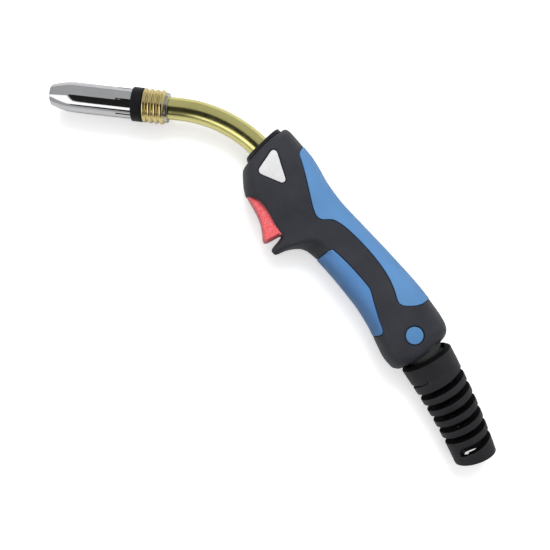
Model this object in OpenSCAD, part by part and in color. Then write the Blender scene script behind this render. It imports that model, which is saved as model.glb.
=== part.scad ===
// Hand-held MIG welding torch lying on its right cheek, in millimetres.
// The table is z = 0. +X runs back along the handle, +Y points to its spine, +Z up to the left cheek.
// The origin is the middle of the flat on the right cheek that the torch lies on.

/* [Gas nozzle] */
// Length of the gas nozzle
nozzle_len = 62; // [50:0.5:80]
// Outer radius of the nozzle's cylindrical part
nozzle_r = 10.6; // [10.4:0.1:10.8]
// Outer radius at the nozzle's mouth
nozzle_mouth_outer_r = 7.4; // [7.1:0.1:8.5]
// Radius of the bore in the nozzle's mouth
nozzle_mouth_r = 6.25; // [5:0.05:6.5]
// Length of the straight bore in the mouth
nozzle_mouth_len = 6; // [3:0.5:10]
// Length of the curved taper from the mouth to the full radius
nozzle_taper_len = 18; // [12:1:30]
// Wall of the nozzle
nozzle_wall = 1.1; // [0.9:0.05:1.2]
// Depth that the nozzle reaches under the insulating ring
nozzle_seat_depth = 3.8; // [2:0.1:4.5]
// Number of slits in the nozzle's rear end
nozzle_slits = 6; // [3:1:8]
// Length of those slits
nozzle_slit_len = 14.5; // [8:0.5:18]
// Width of those slits
nozzle_slit_w = 0.9; // [0.5:0.1:1.5]
// Turn of the first slit about the nozzle's axis
nozzle_slit_turn = 0; // [0:1:60]

/* [Contact tip and diffuser] */
// Length of the contact tip with its thread
tip_len = 28; // [25:0.5:32]
// Radius of the contact tip
tip_r = 4; // [3.5:0.1:4.5]
// Radius of the tip's wire bore
wire_bore_r = 0.6; // [0.4:0.05:0.9]
// Radius of the tip's M6 thread
tip_thread_r = 3; // [2.5:0.1:3]
// Length of the tip's thread
tip_thread_len = 7; // [5:0.5:9]
// Distance that the tip stands back from the nozzle's mouth
tip_setback = 1.5; // [0.5:0.5:5]
// Radius of the tip holder
holder_r = 5; // [4.8:0.1:5.5]
// Outer radius of the gas diffuser
diffuser_r = 7.4; // [7:0.1:7.6]
// Length of the gas diffuser
diffuser_len = 20; // [16:0.5:24]
// Number of gas holes round the diffuser
gas_holes = 8; // [4:1:10]
// Radius of a gas hole
gas_hole_r = 0.9; // [0.5:0.1:1.1]

/* [Torch head] */
// Length of the ribbed brass body
rib_body_len = 18.4; // [16:0.1:22]
// Radius of the ribbed body between its ribs
rib_base_r = 10.6; // [10.4:0.1:11]
// Radius of a rib's round section
rib_round_r = 1.7; // [1.4:0.1:2]
// Distance from one rib to the next
rib_pitch = 4.1; // [4:0.1:5]
// Number of ribs
rib_count = 4; // [2:1:4]
// Height of a rib above the body
rib_height = 1.4; // [0.8:0.1:1.6]
// Outer radius of the ribbed body's end flange
flange_r = 10.5; // [10:0.1:12]
// Thickness of the ribbed body's end flange
flange_t = 1.6; // [1:0.1:2]
// Outer radius of the black insulating ring
ring_r = 12; // [11.8:0.1:13]
// Length of the insulating ring
ring_len = 7.4; // [5:0.1:9]
// Outer radius of the sleeve that the nozzle's fingers grip
seat_r = 9.4; // [9.2:0.05:9.45]
// Length of that sleeve
seat_len = 21; // [18:0.5:26]

/* [Swan neck] */
// Radius of the swan neck's outer tube
neck_r = 8; // [7.5:0.1:8.2]
// Wall of the swan neck's outer tube
neck_wall = 1.2; // [1:0.1:2]
// Radius of the bend's centre line
neck_bend_r = 94; // [80:1:120]
// Angle of the bend
neck_bend = 38.5; // [25:0.5:50]
// Length of the straight neck between the bend and the ribbed body
neck_straight = 8.4; // [2:0.1:30]
// Radius of the copper inner tube
core_r = 4.5; // [4:0.1:4.8]
// Wall of the copper inner tube
core_wall = 1.5; // [1:0.1:2]
// Outer radius of the steel wire liner
liner_r = 2.4; // [2:0.1:2.5]
// Amount that the neck tubes' straight ends are turned down
neck_step = 0.15; // [0.1:0.05:0.3]
// Bore radius of the wire liner
liner_bore_r = 1.2; // [0.8:0.1:1.5]

/* [Handle] */
// Half width of the handle across its flat cheeks
cheek_half = 20; // [19.5:0.1:22]
// Distance from the origin to the handle's rear end
handle_rear = 159.4; // [145:0.1:178]
// Half width of the handle at its waist
waist_half = 17.2; // [16:0.1:19]
// Half width at the nose
nose_half = 16.5; // [16:0.1:19]
// Wall of the handle shells
shell_wall = 2.6; // [2.2:0.1:3]
// Rounding of the spine
spine_round = 13; // [10:0.5:15]
// Rounding of the belly
belly_round = 11; // [8:0.5:12]
// Depth of a grip insert in the shell
grip_depth = 1.2; // [0.8:0.1:1.5]
// Height that a grip insert stands proud of the shell
grip_proud = 0.3; // [0:0.1:0.6]
// Width of the groove round a grip insert
grip_gap = 0.35; // [0.3:0.05:0.6]
// Thickness of the nose collar's plate
collar_t = 3.2; // [1.5:0.1:4]
// Depth that the nose collar reaches into the shells
collar_depth = 6; // [4:0.5:9]
// Radius of a shell screw's shank
screw_r = 1.5; // [1.2:0.1:1.8]
// Radius of a shell screw's head
screw_head_r = 3.1; // [2.6:0.1:3.2]
// Length of a shell screw under its head
screw_len = 18; // [14:0.5:22]
// Thickness of the badge plate
badge_t = 0.8; // [0.5:0.1:1.2]
// Radius of the blue side plug
plug_r = 6.1; // [5:0.1:6.5]
// Depth of the side plug's seat
plug_depth = 1.4; // [1:0.1:1.8]

/* [Trigger and switch] */
// Half width of the trigger
trigger_half = 11; // [10:0.1:11]
// Rounding of the trigger's outer edges
trigger_round = 3.2; // [2:0.1:4]
// Radius of the trigger's pivot pin
pin_r = 1.5; // [1.2:0.1:1.8]
// Length of the pivot pin
pin_len = 27; // [26:0.5:29]
// Length of the microswitch
switch_len = 20; // [18:0.5:21]
// Height of the microswitch
switch_h = 10; // [8:0.5:10.5]
// Thickness of the microswitch
switch_t = 6.4; // [5:0.1:8]
// Radius of the switch's plunger
plunger_r = 1.2; // [1:0.1:1.6]
// Height that the plunger stands out of the switch at rest
plunger_out = 2; // [1.9:0.1:3]
// Radius of a switch lead
lead_r = 0.9; // [0.6:0.1:1.2]

/* [Rear connector] */
// Radius of the brass power block
block_r = 10; // [9.8:0.1:10.5]
// Length of the power block
block_len = 28; // [26:0.5:32]
// Radius of the M12 spigot that takes the cable's nut
spigot_r = 6; // [5:0.1:6]
// Length of that spigot
spigot_len = 12; // [8:0.5:14]

/* [Cable support] */
// Radius of the ball
ball_r = 15; // [14.5:0.1:15]
// Radius of the cable passage in the ball
ball_bore_r = 8.5; // [7.5:0.1:9]
// Outer radius of the ring that the ball sits in
socket_r = 16.6; // [16.3:0.1:16.8]
// Length of that ring behind the ball's centre
socket_back = 3; // [2.5:0.1:3.2]
// Radius of the lip that holds the ball in the handle
lip_r = 14.8; // [14.7:0.1:15]
// Gap between the handle's rear end and the support's rim when both are in line
support_gap = 2.6; // [2.4:0.1:5]
// Sideways tilt of the support as it lies
support_tilt = 4; // [0:0.1:5]
// Droop of the support as it lies on the table
support_droop = 2.9; // [0:0.1:2.9]
// Length of the cable support
support_len = 83.5; // [75:0.5:95]
// Outer radius at its front rim
support_front_r = 19.4; // [18.8:0.1:19.6]
// Outer radius at its rear end
support_rear_r = 15.2; // [14.5:0.1:16]
// Angle that the rubber is bent through behind its front collar
support_bend = 8.5; // [1:0.5:15]
// Wall of the cable support
support_wall = 3.4; // [3:0.1:4]
// Length of the plain collar at its front
support_collar = 14.6; // [13:0.1:20]
// Length of the plain end at its rear
support_end = 9.6; // [7:0.1:12]
// Axial pitch of the spiral slot
slot_pitch = 9.4; // [8.5:0.1:9.6]
// Number of turns of the slot
slot_turns = 6; // [4:1:6]
// Width of the slot
slot_w = 4.7; // [3:0.1:5.2]
// Distance of the slot's start behind the collar
slot_shift = 1.5; // [0:0.1:2]
// Bore radius of the turns between the slot
band_bore_r = 10.2; // [9.8:0.1:11]
// Radius of the cable entry bore at the rear
cable_bore_r = 9.5; // [8:0.1:10.5]

/* [Hidden] */
$fn = 48;

fit = 0.05;          // radial clearance of parts pushed together
run = 0.08;          // radial clearance of parts that turn or slide on each other
gap = 0.3;           // clearance between parts that only pass each other
mid_z = cheek_half;  // height of the handle's parting plane

// Swan neck: its root lies on the handle's head axis, and it bends down to the nozzle
root_angle = 5;
root_pos = [-27.8, 5];
nozzle_angle = root_angle + neck_bend;
bend_centre = root_pos + neck_bend_r * [sin(root_angle), -cos(root_angle)];
bend_end = bend_centre + neck_bend_r * [-sin(nozzle_angle), cos(nozzle_angle)];
head_pos = bend_end - neck_straight * [cos(nozzle_angle), sin(nozzle_angle)];
insulation_r = neck_r - neck_wall - fit;

// Stations along the nozzle axis, counted from the rear of the ribbed body
neck_socket = 8;
web_end = neck_socket + 4;
ring_start = rib_body_len;
ring_end = ring_start + ring_len;
nozzle_start = ring_end - nozzle_seat_depth;
nozzle_end = nozzle_start + nozzle_len;
seat_end = web_end + seat_len;
diffuser_start = seat_end - 7;
diffuser_end = diffuser_start + diffuser_len;
tip_end = nozzle_end - tip_setback;
tip_start = tip_end - tip_len;
holder_start = diffuser_start - 2;
holder_end = tip_start + tip_thread_len;
holder_socket = 10;
holder_foot_r = 6;

// Stations along the head axis inside the handle, counted back from the neck's root
block_start = 23;
block_end = block_start + block_len;
neck_in_block = 8;
insulation_in_block = 16;
core_in_block = 24;

// Handle: nose plane, rear plane and the axis of the ball joint
nose_x = -24;
nose_y = 7;
nose_angle = 3.6;
rear_angle = -5.4;
rear_pos = [handle_rear, 0.9];
ball_setback = 5;
ball_pos = rear_pos - ball_setback * [cos(rear_angle), sin(rear_angle)];
support_angle = rear_angle - support_tilt;
rim_setback = ball_setback + support_gap;

// The side view is drawn for one length, and what lies behind the waist is stretched to suit
waist_x = 60;
drawn_rear = 159.4;
stretch = (handle_rear - waist_x) / (drawn_rear - waist_x);
function lengthwise(x) = x < waist_x ? x : waist_x + (x - waist_x) * stretch;
function stretched(pts) = [for (p = pts) [lengthwise(p[0]), p[1]]];

// Spine and keel of the handle as curves through these points
spine_pts = stretched([[-28, 23], [-26.4, 25.8], [-24.4, 27.6], [-21, 28.6], [-12, 28.9], [0, 29], [10, 27.9], [25, 25.3], [40, 24.4], [60, 25.5],
             [90, 27.3], [120, 28.3], [140, 27.4], [150, 26.2], [156, 24.2], [159.5, 21],
             [161.5, 16], [164, 6]]);
keel_pts = stretched([[-28, -6], [-25, -10.4], [-22, -14.9], [-18, -18.4], [-10, -23.8], [-4, -26.1],
            [8, -26.8], [20, -26.6], [31.6, -24.6], [40, -20.5], [50, -17], [60, -15.2], [80, -14.6], [100, -15],
            [120, -17.4], [135, -21.4], [147, -23.8], [153, -23.6], [156, -21.8], [158, -19],
            [160, -14], [164, -4]]);
// Finger stop below the keel
hook_pts = [[31.6, -24.6], [32.6, -28], [33.3, -32.6], [34.1, -35.2], [35.4, -36.2], [37.6, -36.2],
            [39, -35.2], [40, -32.6], [41, -29.2], [42.5, -25.7], [45, -21.7], [48, -18.6], [52, -16.4]];
// Half width of the cheeks along the handle
cheek_pts = stretched([[-28, nose_half], [-25, nose_half + 1.4], [-17, cheek_half], [12, cheek_half], [45, waist_half], [85, waist_half],
             [122, cheek_half], [149, cheek_half], [155, cheek_half - 0.7], [158.5, cheek_half - 2.2],
             [164, cheek_half - 8]]);
// Edges of the grip inserts on the cheek
back_edge = stretched([[-6.2, 26], [-5.2, 23.5], [-3, 21.2], [2, 18.8], [10, 15], [20, 9.9], [30, 5], [35, 3.1], [38, 2.8],
             [41.5, 4.4], [46, 9.6], [52, 12.2], [60, 13.8], [75, 15.2], [90, 15], [102, 13.3],
             [111, 10.4], [116, 8.2], [119, 7.7], [122.5, 8.9], [127, 14], [130, 19.4], [131.5, 26]]);
belly_edge = stretched([[60.2, -18], [60.4, -6], [61.2, -3.6], [63, -2.7], [75, -1.2], [88, -0.6], [97, -0.7],
              [101, -1.6], [108, -5], [118, -9.6], [126, -12.6], [128.4, -14.4], [128.8, -16.4], [127.4, -22]]);
badge_pts = [[-18.7, 12.1], [8.0, 1.1], [-12.6, -9.4]];
badge_corner_r = [2.6, 2.4, 3.0];
plug_pos = stretched([[143, 1.6]])[0];
screw_spots = stretched([[-12, 21], [57, -8], [133, -14.5], [139, 19.5]]);

// Trigger, its pivot and the switch behind it
pivot = [0.5, -18.8];
trigger_outer = [[-5.8, -25.1], [0, -26.2], [8, -27.7], [15.5, -30.2], [21.5, -33.6], [25, -36.1],
                 [26.8, -36.7], [28.3, -35.6], [29.4, -31.4], [30.6, -25.4]];
trigger_inner = [[-5.8, -24.3], [-3.6, -18.8], [-1.6, -16.4], [3, -15.8], [8, -17], [20, -18.6],
                 [29.6, -19.8], [30.6, -21]];
opening_edge = [[-6.2, -25.7], [-3, -23.2], [0.3, -21.4], [4, -20.3], [9, -20.1], [15.8, -21.1],
                [22.4, -22.4], [28, -23.1], [30.4, -24.1], [31.6, -26.2]];
switch_pos = [31, -11];
switch_pins = [switch_pos[0] - 4.75, switch_pos[0] + 4.75];
switch_pin_y = switch_pos[1] - 1;
switch_pin_r = 1;
plunger_x = 23.2;
plunger_top = switch_pos[1] - switch_h / 2;
pusher_top = plunger_top - plunger_out - gap;

// ---- Curves and surfaces ----

// Slope of the span i of the points p, and the curve's slope at knot i, which never overshoots
function span_slope(p, i) = (p[i + 1][1] - p[i][1]) / (p[i + 1][0] - p[i][0]);
function knot_slope(p, i) =
    i == 0 ? span_slope(p, 0)
    : i == len(p) - 1 ? span_slope(p, i - 1)
    : let (a = span_slope(p, i - 1), b = span_slope(p, i)) a * b <= 0 ? 0 : 2 * a * b / (a + b);

// Index of the span of p that holds x
function span_of(p, x, i = 0) = i >= len(p) - 2 || x < p[i + 1][0] ? i : span_of(p, x, i + 1);

// Height at x of the smooth curve through the points p
function curve(p, x) =
    let (i = span_of(p, x), h = p[i + 1][0] - p[i][0], u = min(1, max(0, (x - p[i][0]) / h)),
         v = 1 - u)
    v * v * (1 + 2 * u) * p[i][1] + u * u * (1 + 2 * v) * p[i + 1][1]
    + h * u * v * (v * knot_slope(p, i) - u * knot_slope(p, i + 1));

// Smooth closed or open outline through points: Catmull-Rom, n steps to a span
function smooth_span(a, b, c, d, u) =
    0.5 * (2 * b + (c - a) * u + (2 * a - 5 * b + 4 * c - d) * u * u + (3 * b - a - 3 * c + d) * u * u * u);
function smooth_path(p, n = 4) =
    [for (i = [0:len(p) - 2]) for (k = [0:n - 1])
        smooth_span(p[max(0, i - 1)], p[i], p[i + 1], p[min(len(p) - 1, i + 2)], k / n),
     p[len(p) - 1]];

// Rise from 0 at the edge to 1 at the distance r
function round_rise(d, r) = let (u = min(1, max(0, d / r))) sqrt(1 - (1 - u) * (1 - u));

// Distance from q to the segment a-b, and to the path p
function seg_dist(q, a, b) =
    let (ab = b - a, u = min(1, max(0, (q - a) * ab / (ab * ab)))) norm(q - a - u * ab);
function path_dist(q, p) = min([for (i = [0:len(p) - 2]) seg_dist(q, p[i], p[i + 1])]);

// Solid between a lower and an upper path at z = 0, whose height is given at each grid point.
// rows[i] is one station's points from the lower path to the upper one.
function grid_faces(n, m) =
    [for (i = [0:n - 2]) for (j = [0:m - 2]) let (a = i * m + j)
        each [[a, a + 1, a + m + 1], [a, a + m + 1, a + m]],
     for (i = [0:n - 2]) let (a = i * m, b = i * m + m - 1)
        each [[a, a + m, b + m], [a, b + m, b]],
     [for (j = [0:m - 1]) m - 1 - j],
     [for (j = [0:m - 1]) (n - 1) * m + j]];
module grid_solid(rows) {
    n = len(rows);
    m = len(rows[0]);
    polyhedron([for (r = rows) each r], grid_faces(n, m), convexity = 6);
}

// Row positions from 0 to 1, closer together at both edges
function row_share(j, m) = (1 - cos(180 * j / (m - 1))) / 2;

// ---- Handle skin ----

hook_start = hook_pts[0][0];
hook_end = hook_pts[len(hook_pts) - 1][0];
skin_rows = 12;

// Lower and upper edge of the handle's side view, drawn in by d
function keel(x, d) = curve(keel_pts, x) + d;
function belly(x, d, hooked) =
    hooked && x > hook_start && x < hook_end ? min(curve(hook_pts, x), keel(x, d)) : keel(x, d);
function spine(x, d) = curve(spine_pts, x) - d;

// The cheeks draw in towards the trigger and the finger stop
function cheek_height(x, y, d) =
    let (low = max(0, -8 - y) / 15, along = x < 48 ? 1 : max(0, 1 - (x - 48) / 14))
    min(cheek_half - max(0, d), max(3, curve(cheek_pts, x) - 6 * along * pow(low, 1.5)) - d);
function belly_round_at(x) =
    x < 28 ? belly_round : x < 42 ? 3.4 : min(belly_round, 3.4 + (x - 42) * 0.8);

// Half of the handle's outer form above the parting plane, drawn in by d, with k times wider stations
function skin_stations(hooked, k) =
    concat([for (x = [-28:3.5 * k:28]) x],
           hooked ? [for (x = [29.5:0.9:hook_end]) x] : [for (x = [32:4.5 * k:52]) x],
           [for (x = [56:5.4 * k:146]) lengthwise(x)],
           [for (x = [149, 151.5, 154, 156, 157.5, 159, 160.5, 162, 164]) lengthwise(x)]);
function skin_grid(d, hooked, k) =
    let (xs = skin_stations(hooked, k), m = skin_rows - 3 * (k - 1),
         low = [for (x = xs) [x, belly(x, d, hooked)]],
         top = [for (x = xs) [x, spine(x, d)]])
    [for (i = [0:len(xs) - 1])
        [for (j = [0:m - 1])
            let (x = xs[i], y = low[i][1] + (top[i][1] - low[i][1]) * row_share(j, m),
                 edge = j == 0 || j == m - 1)
            [x, y, edge ? 0 : cheek_height(x, y, d)
                * round_rise(path_dist([x, y], low), belly_round_at(x) - d)
                * round_rise(path_dist([x, y], top), spine_round - d)]]];
module skin(d = 0, hooked = false, k = 1) {
    grid_solid(skin_grid(d, hooked, k));
}

// One mesh of what it holds, at its own size
module moulded() {
    resize([0, 0, 0]) children();
}

// Places children, drawn about the parting plane, on the torch
module at_mid() {
    translate([0, 0, mid_z]) children();
}
module left_half() {
    at_mid() children();
}
module right_half() {
    at_mid() mirror([0, 0, 1]) children();
}

// Prism of an outline in the side view
module side_prism(pts, z0, z1) {
    translate([0, 0, z0]) linear_extrude(z1 - z0) polygon(pts);
}

// What lies beyond the nose plane and beyond the rear plane
module beyond_nose(d = 0) {
    translate([nose_x, nose_y]) rotate(nose_angle) translate([-60 + d, -50, -30]) cube([60, 100, 60]);
}
module beyond_rear(d = 0) {
    translate(rear_pos) rotate(rear_angle) translate([-d, -50, -30]) cube([60, 100, 60]);
}

// Cylinder along the head axis, the nozzle axis, the ball joint's axis or the support's axis
module on_head_axis() {
    translate([root_pos[0], root_pos[1], mid_z]) rotate([0, 0, root_angle]) rotate([0, 90, 0]) children();
}
module on_nozzle_axis() {
    translate([head_pos[0], head_pos[1], mid_z]) rotate([0, 0, 180 + nozzle_angle]) rotate([0, 90, 0])
        children();
}
module on_rear_axis() {
    translate([ball_pos[0], ball_pos[1], mid_z]) rotate([0, 0, rear_angle]) rotate([0, 90, 0]) children();
}
module on_support_axis() {
    translate([ball_pos[0], ball_pos[1], mid_z]) rotate([0, 0, support_angle])
        rotate([0, 90 + support_droop, 0]) children();
}

// Plain tube or rod between two stations of the current axis
module rod(r, z0, z1) {
    translate([0, 0, z0]) cylinder(r = r, h = z1 - z0);
}
module tube(r, bore, z0, z1) {
    difference() {
        rod(r, z0, z1);
        rod(bore, z0 - 1, z1 + 1);
    }
}

// ---- Torch head ----

// Outer radius of the nozzle at u times its taper
function taper_r(u) = nozzle_mouth_outer_r + (nozzle_r - nozzle_mouth_outer_r) * (1 - pow(1 - u, 1.9));
module gas_nozzle() {
    full = nozzle_taper_len;
    color([0.80, 0.81, 0.83]) on_nozzle_axis() difference() {
        translate([0, 0, nozzle_end]) rotate([180, 0, 0]) rotate_extrude()
            polygon([[nozzle_mouth_r, 0], [nozzle_mouth_outer_r - 0.5, 0], [nozzle_mouth_outer_r - 0.1, 0.2],
                     for (u = [0.04, 0.2, 0.4, 0.6, 0.8, 1]) [taper_r(u), u * full],
                     [nozzle_r, nozzle_len - 0.4], [nozzle_r - 0.4, nozzle_len],
                     [nozzle_r - nozzle_wall, nozzle_len], [nozzle_r - nozzle_wall, full],
                     [taper_r(0.6) - nozzle_wall, 0.6 * full],
                     [nozzle_mouth_r, nozzle_mouth_len]]);
        for (i = [0:nozzle_slits - 1]) rotate([0, 0, nozzle_slit_turn + i * 360 / nozzle_slits])
            translate([0, -nozzle_slit_w / 2, nozzle_start - 1])
                cube([nozzle_r + 1, nozzle_slit_w, nozzle_slit_len + 1]);
    }
}

module contact_tip() {
    nose = 6;
    color([0.80, 0.45, 0.28]) on_nozzle_axis() difference() {
        union() {
            rod(tip_thread_r, tip_start, tip_start + tip_thread_len);
            rod(tip_r, tip_start + tip_thread_len, tip_end - nose);
            translate([0, 0, tip_end - nose]) cylinder(r1 = tip_r, r2 = tip_r * 0.62, h = nose);
        }
        rod(wire_bore_r, tip_start - 1, tip_end + 1);
    }
}

module tip_holder() {
    hex_len = 8;
    color([0.78, 0.66, 0.36]) on_nozzle_axis() difference() {
        union() {
            rod(holder_foot_r, holder_start, holder_start + holder_socket);
            rod(holder_r, holder_start + holder_socket, holder_end);
            translate([0, 0, holder_end - hex_len - 1]) cylinder(r = holder_r * 1.15, h = hex_len, $fn = 6);
        }
        rod(core_r - neck_step + fit, holder_start - 1, holder_start + holder_socket);
        rod(liner_r - neck_step + fit, holder_start, tip_start);
        rod(tip_thread_r + fit, tip_start - fit, holder_end + 1);
    }
}

module gas_diffuser() {
    color([0.93, 0.92, 0.88]) on_nozzle_axis() difference() {
        union() {
            rod(diffuser_r, diffuser_start, diffuser_end - 1);
            translate([0, 0, diffuser_end - 1]) cylinder(r1 = diffuser_r, r2 = diffuser_r - 1, h = 1);
        }
        rod(holder_foot_r + fit, diffuser_start - 1, holder_start + holder_socket + fit);
        rod(holder_r + fit, diffuser_start, diffuser_end + 1);
        for (i = [0:gas_holes - 1]) rotate([0, 0, i * 360 / gas_holes])
            translate([holder_r - 1, 0, diffuser_end - 5]) rotate([0, 90, 0])
                cylinder(r = gas_hole_r, h = diffuser_r);
    }
}

module nozzle_seat() {
    color([0.16, 0.16, 0.17]) on_nozzle_axis() difference() {
        rod(seat_r, web_end + fit, seat_end);
        rod(insulation_r - neck_step + fit, web_end - 1, holder_start - fit);
        rod(holder_foot_r + fit, holder_start - 1, diffuser_start);
        rod(diffuser_r + fit, diffuser_start - fit, seat_end + 1);
    }
}

module insulating_ring() {
    lip = 0.7;
    color([0.13, 0.13, 0.14]) on_nozzle_axis() difference() {
        union() {
            rod(ring_r, ring_start, ring_end - lip);
            translate([0, 0, ring_end - lip]) cylinder(r1 = ring_r, r2 = ring_r - lip, h = lip);
        }
        rod(seat_r + fit, ring_start - 1, ring_end + 1);
        rod(nozzle_r + fit * 2, nozzle_start - gap, ring_end + 1);
    }
}

module ribbed_body() {
    last_rib = rib_body_len - rib_round_r;
    color([0.80, 0.66, 0.34]) on_nozzle_axis() difference() {
        union() {
            rod(rib_base_r, flange_t - 0.5, rib_body_len);
            rod(flange_r, 0, flange_t);
            for (i = [0:rib_count - 1]) translate([0, 0, last_rib - i * rib_pitch]) rotate_extrude()
                translate([rib_base_r + rib_height - rib_round_r, 0]) circle(r = rib_round_r);
        }
        rod(neck_r - neck_step + fit, -1, neck_socket);
        rod(insulation_r - neck_step + fit, 0, web_end + 1);
        rod(seat_r + fit, web_end, rib_body_len + 3);
    }
}

// Rod that follows the swan neck, with straight ends turned down by the step
module neck_arc(r, more = 0) {
    translate([bend_centre[0], bend_centre[1], mid_z]) rotate([0, 0, 90 + root_angle - more])
        rotate_extrude(angle = neck_bend + 2 * more, $fn = 180) translate([neck_bend_r, 0]) circle(r = r);
}
module neck_rod(r, step, front, back) {
    neck_arc(r);
    on_nozzle_axis() rod(r - step, -neck_straight - 1, front);
    on_head_axis() rod(r - step, -1, back);
}
module neck_pipe(r, bore, front, back) {
    difference() {
        neck_rod(r, neck_step, front, back);
        neck_rod(bore, -neck_step, front + 1, back + 1);
    }
}

module neck_tube() {
    color([0.78, 0.76, 0.42])
        neck_pipe(neck_r, neck_r - neck_wall, neck_socket, block_start + neck_in_block);
}
module neck_insulation() {
    color([0.90, 0.89, 0.84])
        neck_pipe(insulation_r, core_r + fit, holder_start - 2 * fit, block_start + insulation_in_block);
}
module neck_core() {
    color([0.80, 0.47, 0.30])
        neck_pipe(core_r, core_r - core_wall, holder_start + holder_socket - fit, block_start + core_in_block);
}
module wire_liner() {
    color([0.62, 0.63, 0.65])
        neck_pipe(liner_r, liner_bore_r, tip_start - fit, block_end + spigot_len);
}

// ---- Inside the handle ----

module power_block() {
    groove = 1.2;
    color([0.80, 0.66, 0.34]) on_head_axis() difference() {
        union() {
            rod(block_r, block_start, block_end);
            rod(spigot_r, block_end, block_end + spigot_len);
        }
        rod(neck_r - neck_step + fit, block_start - 1, block_start + neck_in_block);
        rod(insulation_r - neck_step + fit, block_start, block_start + insulation_in_block);
        rod(core_r - neck_step + fit, block_start, block_start + core_in_block);
        rod(liner_r - neck_step + fit, block_start, block_end + spigot_len + 1);
        tube(block_r + 1, block_r - groove, block_end - 9, block_end - 6);
    }
}

module microswitch() {
    color([0.12, 0.12, 0.13]) at_mid() difference() {
        translate([switch_pos[0], switch_pos[1], 0]) cube([switch_len, switch_h, switch_t], center = true);
        for (x = switch_pins) translate([x, switch_pin_y, -switch_t])
            cylinder(r = switch_pin_r + 0.1, h = 2 * switch_t);
        translate([plunger_x, plunger_top - 1, 0]) rotate([-90, 0, 0]) cylinder(r = plunger_r + run, h = 6);
    }
}

module switch_plunger() {
    color([0.75, 0.20, 0.18]) at_mid() translate([plunger_x, plunger_top - plunger_out, 0])
        rotate([-90, 0, 0]) cylinder(r = plunger_r, h = plunger_out + 2.2);
}

terminal_x = [switch_pos[0] - 1, switch_pos[0] + 6];
terminal_top = switch_pos[1] + switch_h / 2 + 5.5;
module switch_terminals() {
    blade_w = 2.8;
    blade_t = 0.6;
    color([0.80, 0.80, 0.78]) at_mid() for (x = terminal_x)
        translate([x - blade_w / 2, switch_pos[1] + switch_h / 2, -blade_t / 2])
            cube([blade_w, terminal_top - switch_pos[1] - switch_h / 2, blade_t]);
}

module trigger_pin() {
    color([0.70, 0.71, 0.73]) at_mid() translate([pivot[0], pivot[1], -pin_len / 2])
        cylinder(r = pin_r, h = pin_len);
}

// Half width of the trigger along its length, narrower at its front end
function trigger_w(x) = curve([[-8, trigger_half - 5], [-2, trigger_half - 2.4], [4, trigger_half],
                               [32, trigger_half]], x);

// Half of the trigger above the parting plane
function trigger_grid() =
    let (xs = concat([for (i = [0:16]) trigger_outer[0][0] + (trigger_outer[5][0] - trigger_outer[0][0]) * i / 16],
                     [for (i = [6:9]) for (u = i < 9 ? [0, 0.5] : [0])
                         trigger_outer[i][0] + u * (trigger_outer[min(9, i + 1)][0] - trigger_outer[i][0])]),
         low = [for (x = xs) [x, curve(trigger_outer, x)]])
    [for (i = [0:len(xs) - 1])
        [for (j = [0:8])
            let (x = xs[i], top = curve(trigger_inner, x), y = low[i][1] + (top - low[i][1]) * pow(j / 8, 1.6))
            [x, y, j == 0 ? 0 : trigger_w(x) * round_rise(path_dist([x, y], low), trigger_round)]]];
// Room for the trigger and its travel in a half shell
trigger_travel = 2.6;
module trigger_room() {
    front = trigger_inner[0][0];
    rear = trigger_inner[7][0];
    xs = [front - 1.2, -4, -2, 1, 4, rear + 0.9];
    grid_solid([for (x = xs) let (top = curve(trigger_inner, max(front, min(rear, x))) + trigger_travel,
                                  w = trigger_w(x) + gap)
        [[x, -45, 0], [x, -45, w], [x, top - 1.5, w], [x, top, w - 2], [x, top, 0]]]);
}
module trigger_half_solid() {
    rows = trigger_grid();
    closed = [for (r = rows) concat(r, [[r[8][0], r[8][1], 0]])];
    grid_solid(closed);
}

module trigger() {
    pusher_w = 5;
    color([0.92, 0.27, 0.29]) at_mid() difference() {
        moulded() union() {
            trigger_half_solid();
            mirror([0, 0, 1]) trigger_half_solid();
            translate([plunger_x - 2, -20, -pusher_w / 2]) cube([4, pusher_top + 20, pusher_w]);
        }
        translate([pivot[0], pivot[1], -trigger_half - 1]) cylinder(r = pin_r + run, h = 2 * trigger_half + 2);
    }
}

// ---- Shells ----

// Rounded outline of the nose collar, drawn square to the nose plane
collar_h = 31;
collar_w = 28.5;
collar_y = 0.6;
module nose_outline(h, w, r) {
    polygon([for (q = [0:3]) for (k = [0:6]) let (a = 90 * q + 15 * k, sx = q == 0 || q == 3 ? 1 : -1,
                                                  sy = q < 2 ? 1 : -1)
        [sx * (w / 2 - r) + r * cos(a), sy * (h / 2 - r) + r * sin(a)]]);
}
module on_nose_plane() {
    translate([nose_x, nose_y, mid_z]) rotate([0, 0, nose_angle]) rotate([0, 90, 0]) children();
}
collar_tenon = shell_wall + 1.4;
module nose_collar() {
    color([0.17, 0.17, 0.19]) difference() {
        on_nose_plane() translate([0, collar_y, 0]) {
            translate([0, 0, -collar_t]) linear_extrude(collar_t - gap / 3)
                nose_outline(collar_h, collar_w, 9);
            translate([0, 0, -collar_t]) linear_extrude(collar_t + collar_depth)
                nose_outline(collar_h - 2 * collar_tenon, collar_w - 2 * collar_tenon, 9 - collar_tenon / 2);
        }
        on_head_axis() rod(neck_r - neck_step + fit, -10, 20);
    }
}

// Grip outlines on the cheek, drawn in by the groove where the insert ends
function reach(edge, y) = concat(smooth_path(edge, 3), [[edge[len(edge) - 1][0], y], [edge[0][0], y]]);
back_outline = reach(back_edge, 2 * cheek_half);
belly_outline = reach(belly_edge, -2 * cheek_half);

module grip(outline) {
    moulded() difference() {
        intersection() {
            skin(-grip_proud);
            translate([0, 0, -1]) linear_extrude(40) offset(delta = -grip_gap) polygon(outline);
        }
        translate([0, 0, -0.01]) skin(grip_depth - fit, k = 2);
    }
}

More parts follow.
